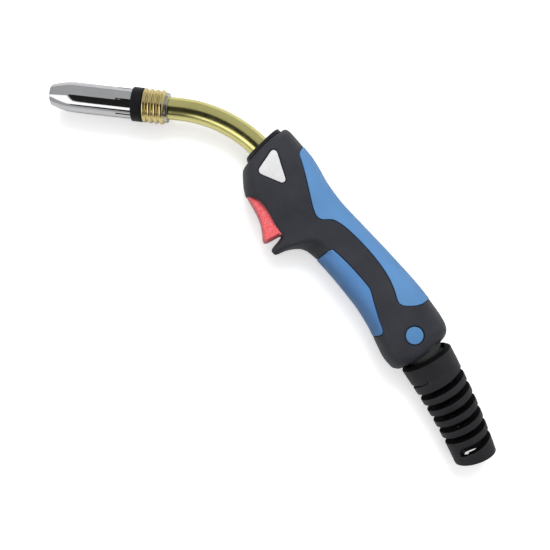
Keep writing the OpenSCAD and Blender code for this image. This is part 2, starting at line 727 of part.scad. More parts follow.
module grip_seat(outline) {
    difference() {
        side_prism(outline, -1, 40);
        translate([0, 0, -0.01]) skin(grip_depth, k = 2);
    }
}

// Rib across the half shell with a round saddle for the piece of radius r on the head axis
module head_rib(u, t, low) {
    translate([root_pos[0], root_pos[1], 0]) rotate(root_angle) translate([u, -low, 0]) cube([t, low + 60, 40]);
}

// Rear wall and groove of the ball joint, in the half shell
module rear_bulkhead() {
    translate([ball_pos[0], ball_pos[1], 0]) rotate(rear_angle)
        translate([-8.5, -60, 0]) cube([30, 120, 40]);
}

module boss(p, r, z0) {
    translate([p[0], p[1], z0]) cylinder(r = r, h = 40, $fn = 24);
}

neck_rib = 5;
screw_seat_z = 12.8;
screw_bite = screw_len - screw_seat_z;

// Half shell above the parting plane; the left one takes the screws, the right one holds their heads
module half_shell(left) {
    moulded() difference() {
        union() {
            difference() {
                skin(0, true);
                translate([0, 0, -0.01]) skin(shell_wall, k = 2);
            }
            intersection() {
                skin(0, true);
                union() {
                    head_rib(neck_rib, 3, 60);
                    head_rib(block_end - 9 + gap, 3 - 2 * gap, 21);
                    rear_bulkhead();
                    for (p = screw_spots) boss(p, 4.2, 0);
                    boss(pivot, 4, trigger_half + gap);
                    for (x = switch_pins) {
                        boss([x, switch_pin_y], 2.3, switch_t / 2 + 0.1);
                        boss([x, switch_pin_y], switch_pin_r, 0.05);
                    }
                }
            }
        }
        // ends
        beyond_nose();
        beyond_rear();
        translate([nose_x, nose_y, 0]) rotate(nose_angle) rotate([0, 90, 0]) translate([0, collar_y, -5])
            linear_extrude(30) nose_outline(collar_h - 2 * collar_tenon + gap, collar_w - 2 * collar_tenon + gap,
                                            9 - collar_tenon / 2);
        // seats of what the shells clamp
        translate([0, 0, -mid_z]) {
            on_head_axis() rod(neck_r - neck_step + fit, -10, block_start + 1);
            on_head_axis() {
                rod(block_r - 1.2 + 2 * fit, block_start, block_end + 2);
            }
            on_rear_axis() {
                rod(socket_r + run, -8 - run, socket_back + run);
                rod(lip_r, 0, 40);
                rod(ball_r + 0.6, -20, 0);
                rod(14, -30, 0);
            }
        }
        translate([pivot[0], pivot[1], -1]) cylinder(r = pin_r + fit, h = pin_len / 2 + 1 + fit);
        translate([0, 0, -0.01]) trigger_room();
        // trigger opening, grips and badge
        side_prism(reach(opening_edge, -45), -1, 2 * cheek_half);
        if (left) {
            side_prism(badge_outline(0.25), cheek_half - badge_t, 40);
            boss(plug_pos, plug_r + 0.35, cheek_half - plug_depth);
        }
        grip_seat(back_outline);
        grip_seat(belly_outline);
        for (p = screw_spots) {
            if (left) translate([p[0], p[1], -1]) cylinder(r = screw_r + fit, h = screw_bite + 2, $fn = 24);
            if (!left) boss(p, screw_r + 0.3, -1);
            if (!left) boss(p, screw_head_r + 0.3, screw_seat_z);
        }
    }
}

// Triangle with rounded corners, grown by d
function corner_arc(p, a, b, r, d) =
    let (u = (a - p) / norm(a - p), v = (b - p) / norm(b - p), w = (u + v) / norm(u + v),
         half = acos(u * v) / 2, c = p + w * r / sin(half), a0 = atan2(-w[1], -w[0]), sweep = 90 - half)
    [for (k = [-4:4]) c + (r + d) * [cos(a0 - k * sweep / 4), sin(a0 - k * sweep / 4)]];
function badge_outline(d) =
    [for (i = [0:2]) each corner_arc(badge_pts[i], badge_pts[(i + 2) % 3], badge_pts[(i + 1) % 3],
                                     badge_corner_r[i], d)];

module handle_left_shell() {
    color([0.20, 0.20, 0.22]) left_half() half_shell(true);
}
module handle_right_shell() {
    color([0.20, 0.20, 0.22]) right_half() half_shell(false);
}
module back_grip_left() {
    color([0.45, 0.66, 0.87]) left_half() grip(back_outline);
}
module back_grip_right() {
    color([0.45, 0.66, 0.87]) right_half() grip(back_outline);
}
module belly_grip_left() {
    color([0.38, 0.58, 0.80]) left_half() grip(belly_outline);
}
module belly_grip_right() {
    color([0.38, 0.58, 0.80]) right_half() grip(belly_outline);
}

module badge_plate() {
    color([0.95, 0.95, 0.94]) left_half() side_prism(badge_outline(0), cheek_half - badge_t + fit, cheek_half);
}

module side_plug() {
    color([0.45, 0.66, 0.87]) left_half() translate([plug_pos[0], plug_pos[1], cheek_half - plug_depth + fit]) {
        cylinder(r = plug_r, h = plug_depth - fit - 0.4);
        translate([0, 0, plug_depth - fit - 0.4]) cylinder(r1 = plug_r, r2 = plug_r - 0.5, h = 0.5);
    }
}

module shell_screws() {
    color([0.55, 0.56, 0.58]) right_half() for (p = screw_spots)
        translate([p[0], p[1], 0]) {
            rod(screw_r, screw_seat_z + fit - screw_len, screw_seat_z + 1);
            rod(screw_head_r, screw_seat_z + fit, screw_seat_z + 2);
        }
}

// ---- Switch leads ----

// Tube with a ring of sides round each point of a path that lies flat at height z
function lead_ring(p, i, r, z, sides) =
    let (a = p[max(0, i - 1)], b = p[min(len(p) - 1, i + 1)], t = (b - a) / norm(b - a), n = [-t[1], t[0]])
    [for (k = [0:sides - 1]) let (f = 360 * k / sides)
        [p[i][0] + n[0] * r * cos(f), p[i][1] + n[1] * r * cos(f), z + r * sin(f)]];
module lead(p, r, z, sides = 8) {
    rings = [for (i = [0:len(p) - 1]) lead_ring(p, i, r, z, sides)];
    polyhedron([for (g = rings) each g],
               concat([for (i = [0:len(p) - 2]) for (k = [0:sides - 1])
                          let (a = i * sides + k, b = i * sides + (k + 1) % sides)
                          each [[a, a + sides, b + sides], [a, b + sides, b]]],
                      [[for (k = [0:sides - 1]) k], [for (k = [0:sides - 1]) len(p) * sides - 1 - k]]));
}
lead_z = 1.2;
lead_paths = [[[terminal_x[0], terminal_top + 0.5], [terminal_x[0], terminal_top + 1.2],
               [terminal_x[0] + 2, terminal_top + 3.4], [42, 3.4], [54, 2.6], [66, 2.4], [76, 3]],
              [[terminal_x[1], terminal_top + 0.5], [terminal_x[1], terminal_top + 0.8],
               [terminal_x[1] + 2.4, terminal_top + 1], [48, -1.8], [56, -1.6], [66, -1.8], [76, -2.4]]];
module switch_leads() {
    plug_len = 14;
    color([0.20, 0.32, 0.62]) at_mid() for (p = lead_paths) {
        lead(smooth_path(p, 3), lead_r, 0);
        translate([76, p[6][1], 0]) rotate([0, 90, 8]) cylinder(r = 2, h = plug_len);
    }
}

// ---- Ball joint and cable support ----

module socket_ring() {
    color([0.16, 0.16, 0.17]) on_rear_axis() difference() {
        rod(socket_r, -8, socket_back);
        sphere(r = ball_r + run);
        rod(13, -9, 0);
    }
}

module ball_knuckle() {
    tail_r = support_front_r - support_wall - 0.6 - fit;
    throat_z = 10;
    throat = sqrt(ball_r * ball_r - throat_z * throat_z);
    tail = rim_setback + 3;
    color([0.26, 0.26, 0.28]) on_support_axis() difference() {
        union() {
            intersection() {
                sphere(r = ball_r);
                rod(ball_r + 1, -9, 10);
            }
            rod(throat - 0.2, 9, tail + 1);
            rod(tail_r, tail, tail + 9);
        }
        rod(ball_bore_r, -20, 60);
        translate([0, 0, -9.01]) cylinder(r1 = ball_bore_r + 2.5, r2 = ball_bore_r, h = 5);
    }
}

// Outer radius of the support at the station t from its front rim
function support_r(t) =
    support_front_r + (support_rear_r - support_front_r) * t / support_len;

// Centre and half width of the spiral slot at the angle f, which starts at 0
slot_lead_in = 100;
slot_end_angle = 360 * slot_turns + 30;
function slot_centre(f) = support_collar + slot_shift + slot_pitch * (f - 40) / 360;
function slot_half(f) =
    max(0.25, slot_w / 2 * min(1, f / slot_lead_in, (slot_end_angle - f) / 60));

// Edges of the band that winds between the turns of the slot
band_stop = support_len - support_end + 0.6;
function band_front(f) =
    f < 360 ? support_collar - 1.6 : min(band_stop - 0.5, slot_centre(f - 360) + slot_half(f - 360));
function band_back(f) = f < slot_end_angle ? min(band_stop, slot_centre(f) - slot_half(f)) : band_stop;
slot_start_angle = 230;
function band_ring(f) =
    let (a = band_front(f), b = band_back(f), c = min(0.7, (b - a) / 4), skin = 0.2,
         ra = support_r(a) - skin, rb = support_r(b) - skin, ri = band_bore_r)
    [for (q = [[ri, a], [ra - c, a], [ra, a + c], [rb, b - c], [rb - c, b], [ri, b]])
        bent([q[0] * cos(f + slot_start_angle), q[0] * sin(f + slot_start_angle), q[1]])];
// Bent axis of the support behind its collar
bend_radius = (support_len - support_collar) * 180 / (PI * support_bend);
function bent(p) =
    let (a = max(0, p[2] - support_collar) * 180 / (PI * bend_radius), s = min(p[2], support_collar))
    [p[0], (p[1] + bend_radius) * cos(a) - bend_radius, s + (p[1] + bend_radius) * sin(a)];
module support_band() {
    step = 15;
    last = slot_end_angle + 345;
    rings = [for (f = [0:step:last]) band_ring(f)];
    n = len(rings);
    polyhedron([for (g = rings) each g],
               concat([for (i = [0:n - 2]) for (k = [0:5]) let (a = i * 6 + k, b = i * 6 + (k + 1) % 6)
                          each [[a, b, b + 6], [a, b + 6, a + 6]]],
                      [[for (k = [0:5]) 5 - k], [for (k = [0:5]) (n - 1) * 6 + k]]));
}

module cable_support() {
    end_z = support_len - support_end;
    bore = support_front_r - support_wall;
    color([0.13, 0.14, 0.15]) on_support_axis() translate([0, 0, rim_setback]) union() {
        rotate_extrude() polygon([[bore - 0.6, 0.8], [bore, 0], [support_r(0) - 2, 0], [support_r(0) - 0.6, 0.6],
                                  [support_r(2), 2], [support_r(support_collar - 0.9), support_collar - 0.9],
                                  [band_bore_r - 0.1, support_collar - 0.9],
                                  [bore - 0.6, support_collar - 2.3]]);
        support_band();
        end_turn = support_bend * (end_z - support_collar) / (support_len - support_collar);
        translate(bent([0, 0, end_z])) rotate([end_turn, 0, 0]) translate([0, 0, -end_z])
            rotate_extrude() polygon([[cable_bore_r, end_z + 1], [support_r(end_z) - support_wall, end_z],
                                  [support_r(end_z), end_z], [support_r(support_len - 2.5), support_len - 2.5],
                                  [support_r(support_len) - 0.8, support_len - 0.7],
                                  [support_r(support_len) - 2.6, support_len], [cable_bore_r, support_len]]);
    }
}

gas_nozzle();
contact_tip();
tip_holder();
gas_diffuser();
nozzle_seat();
insulating_ring();
ribbed_body();
neck_tube();
neck_insulation();
neck_core();
wire_liner();
nose_collar();
handle_left_shell();
handle_right_shell();
back_grip_left();
back_grip_right();
belly_grip_left();
belly_grip_right();
badge_plate();
side_plug();
shell_screws();
trigger();
trigger_pin();
microswitch();
switch_plunger();
switch_terminals();
switch_leads();
power_block();
socket_ring();
ball_knuckle();
cable_support();
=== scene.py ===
"""Looks of a hand-held MIG welding torch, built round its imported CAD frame.

Shapes are worked out in millimetres in the part's own frame and go into Blender in metres.
"""
import math

import bmesh
import bpy
import numpy as np
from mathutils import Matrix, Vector
from mathutils.geometry import delaunay_2d_cdt


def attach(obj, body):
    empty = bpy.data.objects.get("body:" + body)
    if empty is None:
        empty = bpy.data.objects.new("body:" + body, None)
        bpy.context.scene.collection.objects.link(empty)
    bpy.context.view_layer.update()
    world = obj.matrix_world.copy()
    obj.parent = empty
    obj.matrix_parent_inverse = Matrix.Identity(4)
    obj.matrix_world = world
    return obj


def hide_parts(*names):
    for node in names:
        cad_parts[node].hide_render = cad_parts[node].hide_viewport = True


MM = 0.001
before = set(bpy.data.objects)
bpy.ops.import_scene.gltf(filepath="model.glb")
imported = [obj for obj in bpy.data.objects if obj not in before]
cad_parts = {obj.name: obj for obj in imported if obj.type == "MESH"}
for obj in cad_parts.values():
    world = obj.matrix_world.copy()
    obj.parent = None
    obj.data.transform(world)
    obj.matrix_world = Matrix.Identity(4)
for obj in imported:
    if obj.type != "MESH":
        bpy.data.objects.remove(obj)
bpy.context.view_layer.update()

# ---- Driving sizes, in millimetres ----

MID_Z = 20.0                # height of the handle's parting plane above the table

# Camera: the photograph's scale at the parting plane, its distance and its turn about the vertical
PHOTO_PX = 550
PX_PER_MM = 1.40
CAMERA_DISTANCE = 490.0
CAMERA_FOOT = (49.5, -45.04)
CAMERA_TURN = 50.0

# Swan neck and head
ROOT = np.array([-27.8, 5.0])
ROOT_ANGLE = 5.0
NECK_R = 8.0
NECK_BORE_R = 6.8
NECK_FIT = NECK_R + 0.02    # bore of what sits on the neck
NECK_BEND_R = 94.0
NECK_BEND = 38.5
NECK_STRAIGHT = 8.4
NECK_SOCKET = 8.0
NECK_BACK = 30.0
RIB_BODY_LEN = 18.4
RIB_BASE_R = 10.6
RIB_ROUND_R = 1.7
RIB_CREST_R = 12.0
RIB_PITCH = 4.1
RIB_COUNT = 4
FLANGE_R = 10.5
FLANGE_T = 1.6
FLANGE_END = 2.1
RING_R = 12.0
RING_LEN = 7.4
SEAT_R = 9.4

# Nozzle
NOZZLE_LEN = 62.0
NOZZLE_R = 10.6
NOZZLE_WALL = 1.1
NOZZLE_MOUTH_R = 6.25
NOZZLE_MOUTH_OUTER_R = 7.4
NOZZLE_MOUTH_LEN = 6.0
NOZZLE_TAPER = 18.0
NOZZLE_SEAT_DEPTH = 3.8
SLITS = 6
SLIT_TURN = 0.0
SLIT_LEN = 14.5
SLIT_W = 1.15

# Handle
NOSE = np.array([-24.0, 7.0])
NOSE_ANGLE = 3.6
HANDLE_REAR = 159.4
REAR = np.array([HANDLE_REAR, 0.9])
REAR_ANGLE = -5.4
BALL_SETBACK = 5.0
WALL = 2.4
GRIP_T = 1.4
CHEEK = 20.0
WAIST = 17.2
NOSE_HALF = 16.5
SPINE_ROUND = 13.0
BELLY_ROUND = 11.0
GRIP_PROUD = 0.3
GRIP_GAP = 0.4
EDGE_ROUND = 0.5
NOSE_FILLET = 0.9
NOSE_LIP = 2.6              # how much thicker the shell is at the nose collar
REAR_FILLET = 1.2
TRIGGER_HALF = 11.0
SCREW_HEAD_R = 3.1
SCREW_HOLE_R = 3.5
SCREW_SEAT_Z = 12.8
SCREW_R = 1.5

# Cable support
SUPPORT_GAP = 2.6
SUPPORT_TILT = 4.0
SUPPORT_DROOP = 2.9
SUPPORT_LEN = 83.5
SUPPORT_FRONT_R = 19.4
SUPPORT_REAR_R = 15.2
SUPPORT_WALL = 3.4
SUPPORT_BEND = 8.5
SUPPORT_COLLAR = 14.6
SUPPORT_END = 9.6
BAND_BORE_R = 9.5
SLOT_PITCH = 9.4
SLOT_TURNS = 6
SLOT_W = 4.7
SLOT_LEAD_IN = 116.0
SLOT_SHIFT = 0.9
SLOT_SLANT = -0.9            # lean of the slots towards the camera side
SLOT_START_ANGLE = 214.0
CABLE_BORE_R = 10.2
BALL_R = 15.0
BALL_BORE_R = 8.5
LIP_R = 14.8


def cos(angle):
    return math.cos(math.radians(angle))


def sin(angle):
    return math.sin(math.radians(angle))


def heading(angle):
    """Direction in the plane at an angle in degrees."""
    return np.array([cos(angle), sin(angle)])


def add_object(name, data):
    obj = bpy.data.objects.new(name, data)
    bpy.context.scene.collection.objects.link(obj)
    return obj


# ---- Shader nodes ----

WHITE = (1, 1, 1, 1)


def set_inputs(tree, node, inputs):
    """Inputs of a node, by name or number: a socket is linked, and any other value is set."""
    for key, value in inputs.items():
        if isinstance(value, bpy.types.NodeSocket):
            tree.links.new(value, node.inputs[key])
        else:
            node.inputs[key].default_value = value
    return node


def add_node(tree, kind, inputs=None, operation=None):
    node = tree.nodes.new("ShaderNode" + kind)
    if operation:
        node.operation = operation
    return set_inputs(tree, node, inputs or {})


def own_place(tree):
    return add_node(tree, "TexCoord").outputs["Object"]


def map_range(tree, source, low, high, start=0.0, end=1.0):
    """A socket that runs from low to high while the source runs from start to end."""
    inputs = {"Value": source, "From Min": start, "From Max": end, "To Min": low, "To Max": high}
    return add_node(tree, "MapRange", inputs).outputs["Result"]


def seen_by_light_path(tree, rays=("Is Camera Ray", "Is Transmission Ray")):
    """A socket that is 1 for the named kinds of ray."""
    path = add_node(tree, "LightPath")
    total = path.outputs[rays[0]]
    for name in rays[1:]:
        total = add_node(tree, "Math", {0: total, 1: path.outputs[name]}, "MAXIMUM").outputs[0]
    return total


def cleared_tree(owner):
    owner.use_nodes = True
    owner.node_tree.nodes.clear()
    return owner.node_tree


# ---- Camera, world, lamps and floor ----

def place_camera():
    data = bpy.data.cameras.new("photo_camera")
    data.sensor_width = 36.0
    data.lens = data.sensor_width * CAMERA_DISTANCE * PX_PER_MM / PHOTO_PX
    data.clip_start = 0.01
    data.clip_end = 20.0
    camera = add_object("photo_camera", data)
    camera.location = Vector((*CAMERA_FOOT, MID_Z + CAMERA_DISTANCE)) * MM
    camera.rotation_euler = (0, 0, math.radians(CAMERA_TURN))
    bpy.context.scene.camera = camera


def make_world(ambient=0.25, reflected=0.54):
    """Dim surroundings for the object, and a white background for the camera."""
    world = bpy.data.worlds.new("studio")
    tree = cleared_tree(world)
    level = map_range(tree, seen_by_light_path(tree, ("Is Glossy Ray",)), ambient, reflected)
    dim = add_node(tree, "Background", {"Color": (0.97, 0.98, 1.0, 1), "Strength": level})
    white = add_node(tree, "Background", {"Color": WHITE, "Strength": 1.0})
    shown = seen_by_light_path(tree)
    mix = add_node(tree, "MixShader", {"Fac": shown, 1: dim.outputs[0], 2: white.outputs[0]})
    add_node(tree, "OutputWorld", {"Surface": mix.outputs[0]})
    bpy.context.scene.world = world


def image_direction(right, up):
    """World direction in the table plane of a direction in the photograph."""
    c, s = cos(CAMERA_TURN), sin(CAMERA_TURN)
    return Vector((c * right - s * up, s * right + c * up, 0))


def area_lamp(name, middle, side, height, size, watts):
    """Square lamp at a height above the middle of the picture, moved to the side and aimed at the middle."""
    data = bpy.data.lights.new(name, "AREA")
    data.shape = "RECTANGLE"
    data.size = data.size_y = size
    data.energy = watts
    lamp = add_object(name, data)
    lamp.location = middle + side + Vector((0, 0, height))
    lamp.rotation_euler = (middle - lamp.location).to_track_quat("-Z", "Y").to_euler()
    lamp.visible_glossy = False


def card(name, strength, corners, height=0.62):
    """Level studio card that only reflections show; corners are (down, left) from the image's centre."""
    down, left = image_direction(0, -1), image_direction(-1, 0)
    centre = Vector((*CAMERA_FOOT, 0)) * MM + Vector((0, 0, height))
    mesh = bpy.data.meshes.new(name)
    points = [tuple(centre + down * a + left * b) for a, b in corners]
    mesh.from_pydata(points, [], [tuple(range(len(points)))])
    material = bpy.data.materials.new(name)
    tree = cleared_tree(material)
    glow = add_node(tree, "Emission", {"Color": WHITE, "Strength": strength})
    add_node(tree, "OutputMaterial", {"Surface": glow.outputs[0]})
    mesh.materials.append(material)
    obj = add_object(name, mesh)
    obj.visible_camera = False
    obj.visible_diffuse = False
    obj.visible_shadow = False


def light_studio():
    middle = Vector((*CAMERA_FOOT, MID_Z)) * MM
    key_side = image_direction(0.15, 1.0)
    area_lamp("key", middle, key_side * 0.78, 1.1, 0.6, 9.6)
    area_lamp("fill", middle, image_direction(-0.6, 0.5) * 1.1, 0.9, 1.0, 0.5)
    area_lamp("overhead", middle, key_side * 0.25, 1.3, 1.2, 6.5)
    black, bright = 0.02, 1.7
    card("dark_card", black,
         [(-0.21, -0.60), (1.36, -0.60), (1.36, 0.58), (0.46, 0.33), (0.44, 0.44), (-0.21, 0.44)])
    card("white_card_low", bright, [(0.49, 0.36), (1.15, 0.55), (1.45, 1.30), (0.49, 1.30)])
    card("white_card_left", bright, [(-0.11, 0.48), (0.49, 0.48), (0.49, 1.30), (-0.11, 1.30)])
    card("dark_card_low", black, [(1.15, -1.20), (5.5, -1.20), (5.5, 1.30), (1.45, 1.30), (1.15, 0.55)])


def make_floor():
    """White table top, which keeps the object's shadow and fades to plain white far from it."""
    bm = bmesh.new()
    bmesh.ops.create_grid(bm, x_segments=8, y_segments=8, size=6.0)
    mesh = bpy.data.meshes.new("table_top")
    bm.to_mesh(mesh)
    bm.free()
    floor = add_object("table_top", mesh)
    floor.location = (0.05, -0.03, -0.0004)
    material = bpy.data.materials.new("table_white")
    tree = cleared_tree(material)
    tone = map_range(tree, seen_by_light_path(tree, ("Is Diffuse Ray",)), 0.9, 0.50)
    matt = add_node(tree, "BsdfDiffuse", {"Color": tone})
    far = add_node(tree, "VectorMath", {0: own_place(tree)}, "LENGTH").outputs["Value"]
    white = map_range(tree, far, 0.50, 1.0, 0.35, 1.6)
    lift = add_node(tree, "Math", {0: seen_by_light_path(tree), 1: white}, "MULTIPLY")
    glow = add_node(tree, "Emission", {"Color": WHITE, "Strength": lift.outputs[0]})
    both = add_node(tree, "AddShader", {0: matt.outputs[0], 1: glow.outputs[0]})
    add_node(tree, "OutputMaterial", {"Surface": both.outputs[0]})
    mesh.materials.append(material)


place_camera()
make_world()
light_studio()
make_floor()
bpy.context.scene.view_settings.view_transform = "Standard"

# ---- Materials ----


def make_finish(name, constants, other, mottle, patches, grain, depth, stretch=None):
    """Principled material whose colour, roughness and surface follow noise over the object's own space.

    mottle and grain are noises, as (features a metre, detail and so on). patches is the roughness:
    its noise, low and high value. The colour runs to the other one with the mottle.
    """
    material = bpy.data.materials.new(name)
    material.use_nodes = True
    tree = material.node_tree
    shader = set_inputs(tree, tree.nodes["Principled BSDF"], constants)
    place = own_place(tree)

    def noise(scale, detail, rough=0.55, vector=place):
        inputs = {"Vector": vector, "Scale": scale, "Detail": detail, "Roughness": rough}
        return add_node(tree, "TexNoise", inputs).outputs["Fac"]

    ramp = add_node(tree, "ValToRGB", {"Fac": noise(*mottle)})
    low, high = ramp.color_ramp.elements
    low.position, low.color = 0.35, constants["Base Color"]
    high.position, high.color = 0.65, (*other, 1)
    patch_noise, smoothest, roughest = patches
    if stretch:
        stretched_place = {"Vector": place, "Rotation": stretch[0], "Scale": stretch[1]}
        grain = (*grain, add_node(tree, "Mapping", stretched_place).outputs["Vector"])
    bump = add_node(tree, "Bump", {"Distance": depth * MM, "Strength": 1.0, "Height": noise(*grain)})
    set_inputs(tree, shader, {
        "Base Color": ramp.outputs["Color"],
        "Roughness": map_range(tree, noise(*patch_noise), smoothest, roughest, 0.3, 0.7),
        "Normal": bump.outputs["Normal"]})
    return material


def moulded(name, colour, other, roughness=0.42, depth=0.02, scale=2600, mottle=45, specular=0.5):
    """Injection-moulded plastic or rubber with a fine eroded grain."""
    constants = {"Base Color": (*colour, 1), "Roughness": roughness, "Specular IOR Level": specular}
    patches = ((70, 4), roughness - 0.05, roughness + 0.07)
    return make_finish(name, constants, other, (mottle, 5), patches, (scale, 3, 0.6), depth)


def metal(name, colour, other, roughness, spread=0.05, depth=0.004, scale=900, stretch=None):
    """Polished or turned metal with faint marks."""
    constants = {"Base Color": (*colour, 1), "Roughness": roughness, "Metallic": 1.0}
    patches = ((160, 5), max(0.02, roughness - spread), roughness + spread)
    return make_finish(name, constants, other, (60, 4), patches, (scale, 4, 0.6), depth, stretch)


NOZZLE_ANGLE = ROOT_ANGLE + NECK_BEND
along_nozzle = ((0, 0, math.radians(-NOZZLE_ANGLE)), (0.04, 1, 1))

CHROME = metal("chrome", (0.62, 0.62, 0.63), (0.58, 0.58, 0.59), 0.07, 0.02, 0.0015, 700, along_nozzle)
BRASS = metal("turned_brass", (0.76, 0.63, 0.30), (0.68, 0.56, 0.25), 0.18, 0.05, 0.006, 1500)
NECK_METAL = metal("neck_plating", (0.74, 0.69, 0.28), (0.66, 0.61, 0.23), 0.22, 0.04, 0.006, 1200)
STEEL = metal("zinc_steel", (0.62, 0.63, 0.65), (0.55, 0.56, 0.58), 0.28, 0.06)
TIN = metal("tin", (0.72, 0.72, 0.70), (0.66, 0.66, 0.64), 0.30)
COPPER = metal("copper", (0.80, 0.42, 0.26), (0.70, 0.34, 0.20), 0.25, 0.06)
FLANGE_METAL = metal("plated_flange", (0.55, 0.54, 0.50), (0.50, 0.48, 0.43), 0.24)

SHELL_BLACK = moulded("shell_black", (0.036, 0.0375, 0.045), (0.046, 0.048, 0.057), 0.48, 0.018, 2200,
                      specular=0.20)
COLLAR_BLACK = moulded("collar_black", (0.016, 0.016, 0.018), (0.020, 0.020, 0.023), 0.45, specular=0.3)
INSULATOR = moulded("insulator_black", (0.006, 0.006, 0.007), (0.009, 0.009, 0.010), 0.45, 0.012, 1800,
                    specular=0.2)
BACK_BLUE = moulded("grip_back_blue", (0.114, 0.288, 0.580), (0.126, 0.308, 0.610), 0.55, 0.015, 2400)
# the belly grip has the back grip's pigment, made darker as painted shade for its downward-facing side
BELLY_BLUE_SHADED = moulded("grip_belly_blue", (0.090, 0.250, 0.550), (0.098, 0.262, 0.570), 0.55, 0.015, 2400)
PLUG_BLUE = moulded("plug_blue", (0.095, 0.262, 0.540), (0.105, 0.280, 0.565), 0.45, 0.012)
# the red mottles towards a lighter pink: partly the plastic's own speckle, partly painted sheen
TRIGGER_RED = moulded("trigger_red", (0.90, 0.060, 0.068), (1.0, 0.220, 0.240), 0.42, 0.05, 1500, 900,
                      specular=0.6)
PLUNGER_RED = moulded("plunger_red", (0.55, 0.06, 0.05), (0.60, 0.08, 0.06), 0.45)
BADGE_WHITE = moulded("badge_white", (0.78, 0.78, 0.775), (0.82, 0.82, 0.815), 0.28, 0.006, 900)
RUBBER = moulded("support_rubber", (0.021, 0.021, 0.0235), (0.029, 0.029, 0.032), 0.50, 0.03, 1300,
                 specular=0.2)
# near-black copy of the support rubber for slot walls and bores: painted shade in the slots
RUBBER_PAINTED_SHADE = moulded("support_rubber_painted_shade", (0.003, 0.003, 0.0035), (0.005, 0.005, 0.0055), 0.6, 0.02,
                       1300, specular=0.08)
BALL_BLACK = moulded("ball_black", (0.055, 0.058, 0.057), (0.065, 0.068, 0.067), 0.38, 0.01)
INSULATION = moulded("inner_insulation", (0.78, 0.76, 0.68), (0.82, 0.80, 0.73), 0.45)
CERAMIC = moulded("ceramic", (0.82, 0.80, 0.75), (0.86, 0.84, 0.80), 0.50)
SWITCH_BLACK = moulded("switch_black", (0.025, 0.025, 0.028), (0.030, 0.030, 0.033), 0.45)
LEAD_BLUE = moulded("lead_blue", (0.04, 0.10, 0.36), (0.05, 0.12, 0.40), 0.40)

CAD_FINISH = (
    (INSULATION, "neck_insulation"),
    (COPPER, "neck_core contact_tip"),
    (STEEL, "wire_liner trigger_pin"),
    (SWITCH_BLACK, "microswitch"),
    (PLUNGER_RED, "switch_plunger"),
    (TIN, "switch_terminals"),
    (LEAD_BLUE, "switch_leads"),
    (BRASS, "power_block tip_holder"),
    (BALL_BLACK, "socket_ring"),
    (CERAMIC, "gas_diffuser"),
    (INSULATOR, "nozzle_seat"),
)


def finish_cad_nodes():
    for material, names in CAD_FINISH:
        for name in names.split():
            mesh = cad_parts[name].data
            mesh.materials.clear()
            mesh.materials.append(material)
            mesh.shade_smooth()
            mesh.set_sharp_from_angle(angle=math.radians(32))


finish_cad_nodes()

# ---- Mesh making ----


def piece(name, points, faces, materials, body, replaced, slot, sharp=38, face_material=None):
    """A shown piece from points in millimetres; it stands for CAD nodes and rides on a body."""
    bm = bmesh.new()
    verts = [bm.verts.new(tuple(float(c) * MM for c in p)) for p in points]
    for k, face in enumerate(faces):
        corners = [verts[i] for i in dict.fromkeys(face)]
        if len(corners) < 3:
            continue
        try:
            made = bm.faces.new(corners)
        except ValueError:
            continue
        if face_material is not None:
            made.material_index = face_material[k]
    bmesh.ops.remove_doubles(bm, verts=bm.verts, dist=2e-7)
    bmesh.ops.dissolve_degenerate(bm, edges=bm.edges, dist=1e-8)
    loose = [v for v in bm.verts if not v.link_faces]
    bmesh.ops.delete(bm, geom=loose, context="VERTS")
    bmesh.ops.recalc_face_normals(bm, faces=bm.faces)
    mesh = bpy.data.meshes.new(name)
    bm.to_mesh(mesh)
    bm.free()
    for material in materials if isinstance(materials, list) else [materials]:
        mesh.materials.append(material)
    mesh.shade_smooth()
    mesh.set_sharp_from_angle(angle=math.radians(sharp))
    obj = add_object(name, mesh)
    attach(obj, body)
    if replaced:
        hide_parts(*replaced)


def placed(points, origin, axis_angle, droop=0.0):
    """Points of an axis frame (z along the axis, x down, y to the spine side) in the part's frame."""
    along = np.array([*heading(axis_angle) * cos(droop), -sin(droop)])
    side = np.array([*heading(axis_angle + 90), 0.0])
    down = np.cross(side, along)
    return np.array([*origin, MID_Z]) + points @ np.array([down, side, along])


def rounded(corners, steps=6):
    """Closed outline of (x, y, r) corners, each turned with its radius."""
    corners, out = np.array(corners, float), []
    for (x, y, r), before, after in zip(corners, np.roll(corners, 1, 0), np.roll(corners, -1, 0)):
        p = np.array([x, y])
        a, b = before[:2] - p, after[:2] - p
        la, lb = np.linalg.norm(a), np.linalg.norm(b)
        a, b = a / la, b / lb
        half = math.acos(max(-1.0, min(1.0, float(a @ b)))) / 2
        if r <= 0 or half > math.radians(89):
            out.append(p)
            continue
        cut = min(r / math.tan(half), 0.49 * la, 0.49 * lb)
        r = cut * math.tan(half)
        middle = (a + b) / np.linalg.norm(a + b)
        centre = p + middle * r / math.sin(half)
        v0, v1 = p + a * cut - centre, p + b * cut - centre
        turn = math.atan2(v0[0] * v1[1] - v0[1] * v1[0], float(v0 @ v1))
        for k in range(steps + 1):
            t = turn * k / steps
            c, s = math.cos(t), math.sin(t)
            out.append(centre + np.array([c * v0[0] - s * v0[1], s * v0[0] + c * v0[1]]))
    return np.array(out)


def level(loop, z):
    """A flat outline at a height."""
    return np.column_stack([loop, np.full(len(loop), z)])


def edge_steps(r, angles=(0, 22, 45, 68, 90)):
    """Offsets from the two faces of a rounded edge: one runs from r to 0 while the other grows to r."""
    return [(r * (1 - sin(a)), r * (1 - cos(a))) for a in angles]


def ring_faces(count, n, looped=False):
    """Faces between successive rings of n points each, and from the last to the first if looped."""
    faces = []
    for i in range(count if looped else count - 1):
        a, b = i * n, (i + 1) % count * n
        for j in range(n):
            k = (j + 1) % n
            faces.append((a + j, a + k, b + k, b + j))
    return faces


def rings_solid(rings):
    """Closed solid of a ring of rings with as many points each."""
    return np.concatenate(rings), ring_faces(len(rings), len(rings[0]), looped=True)


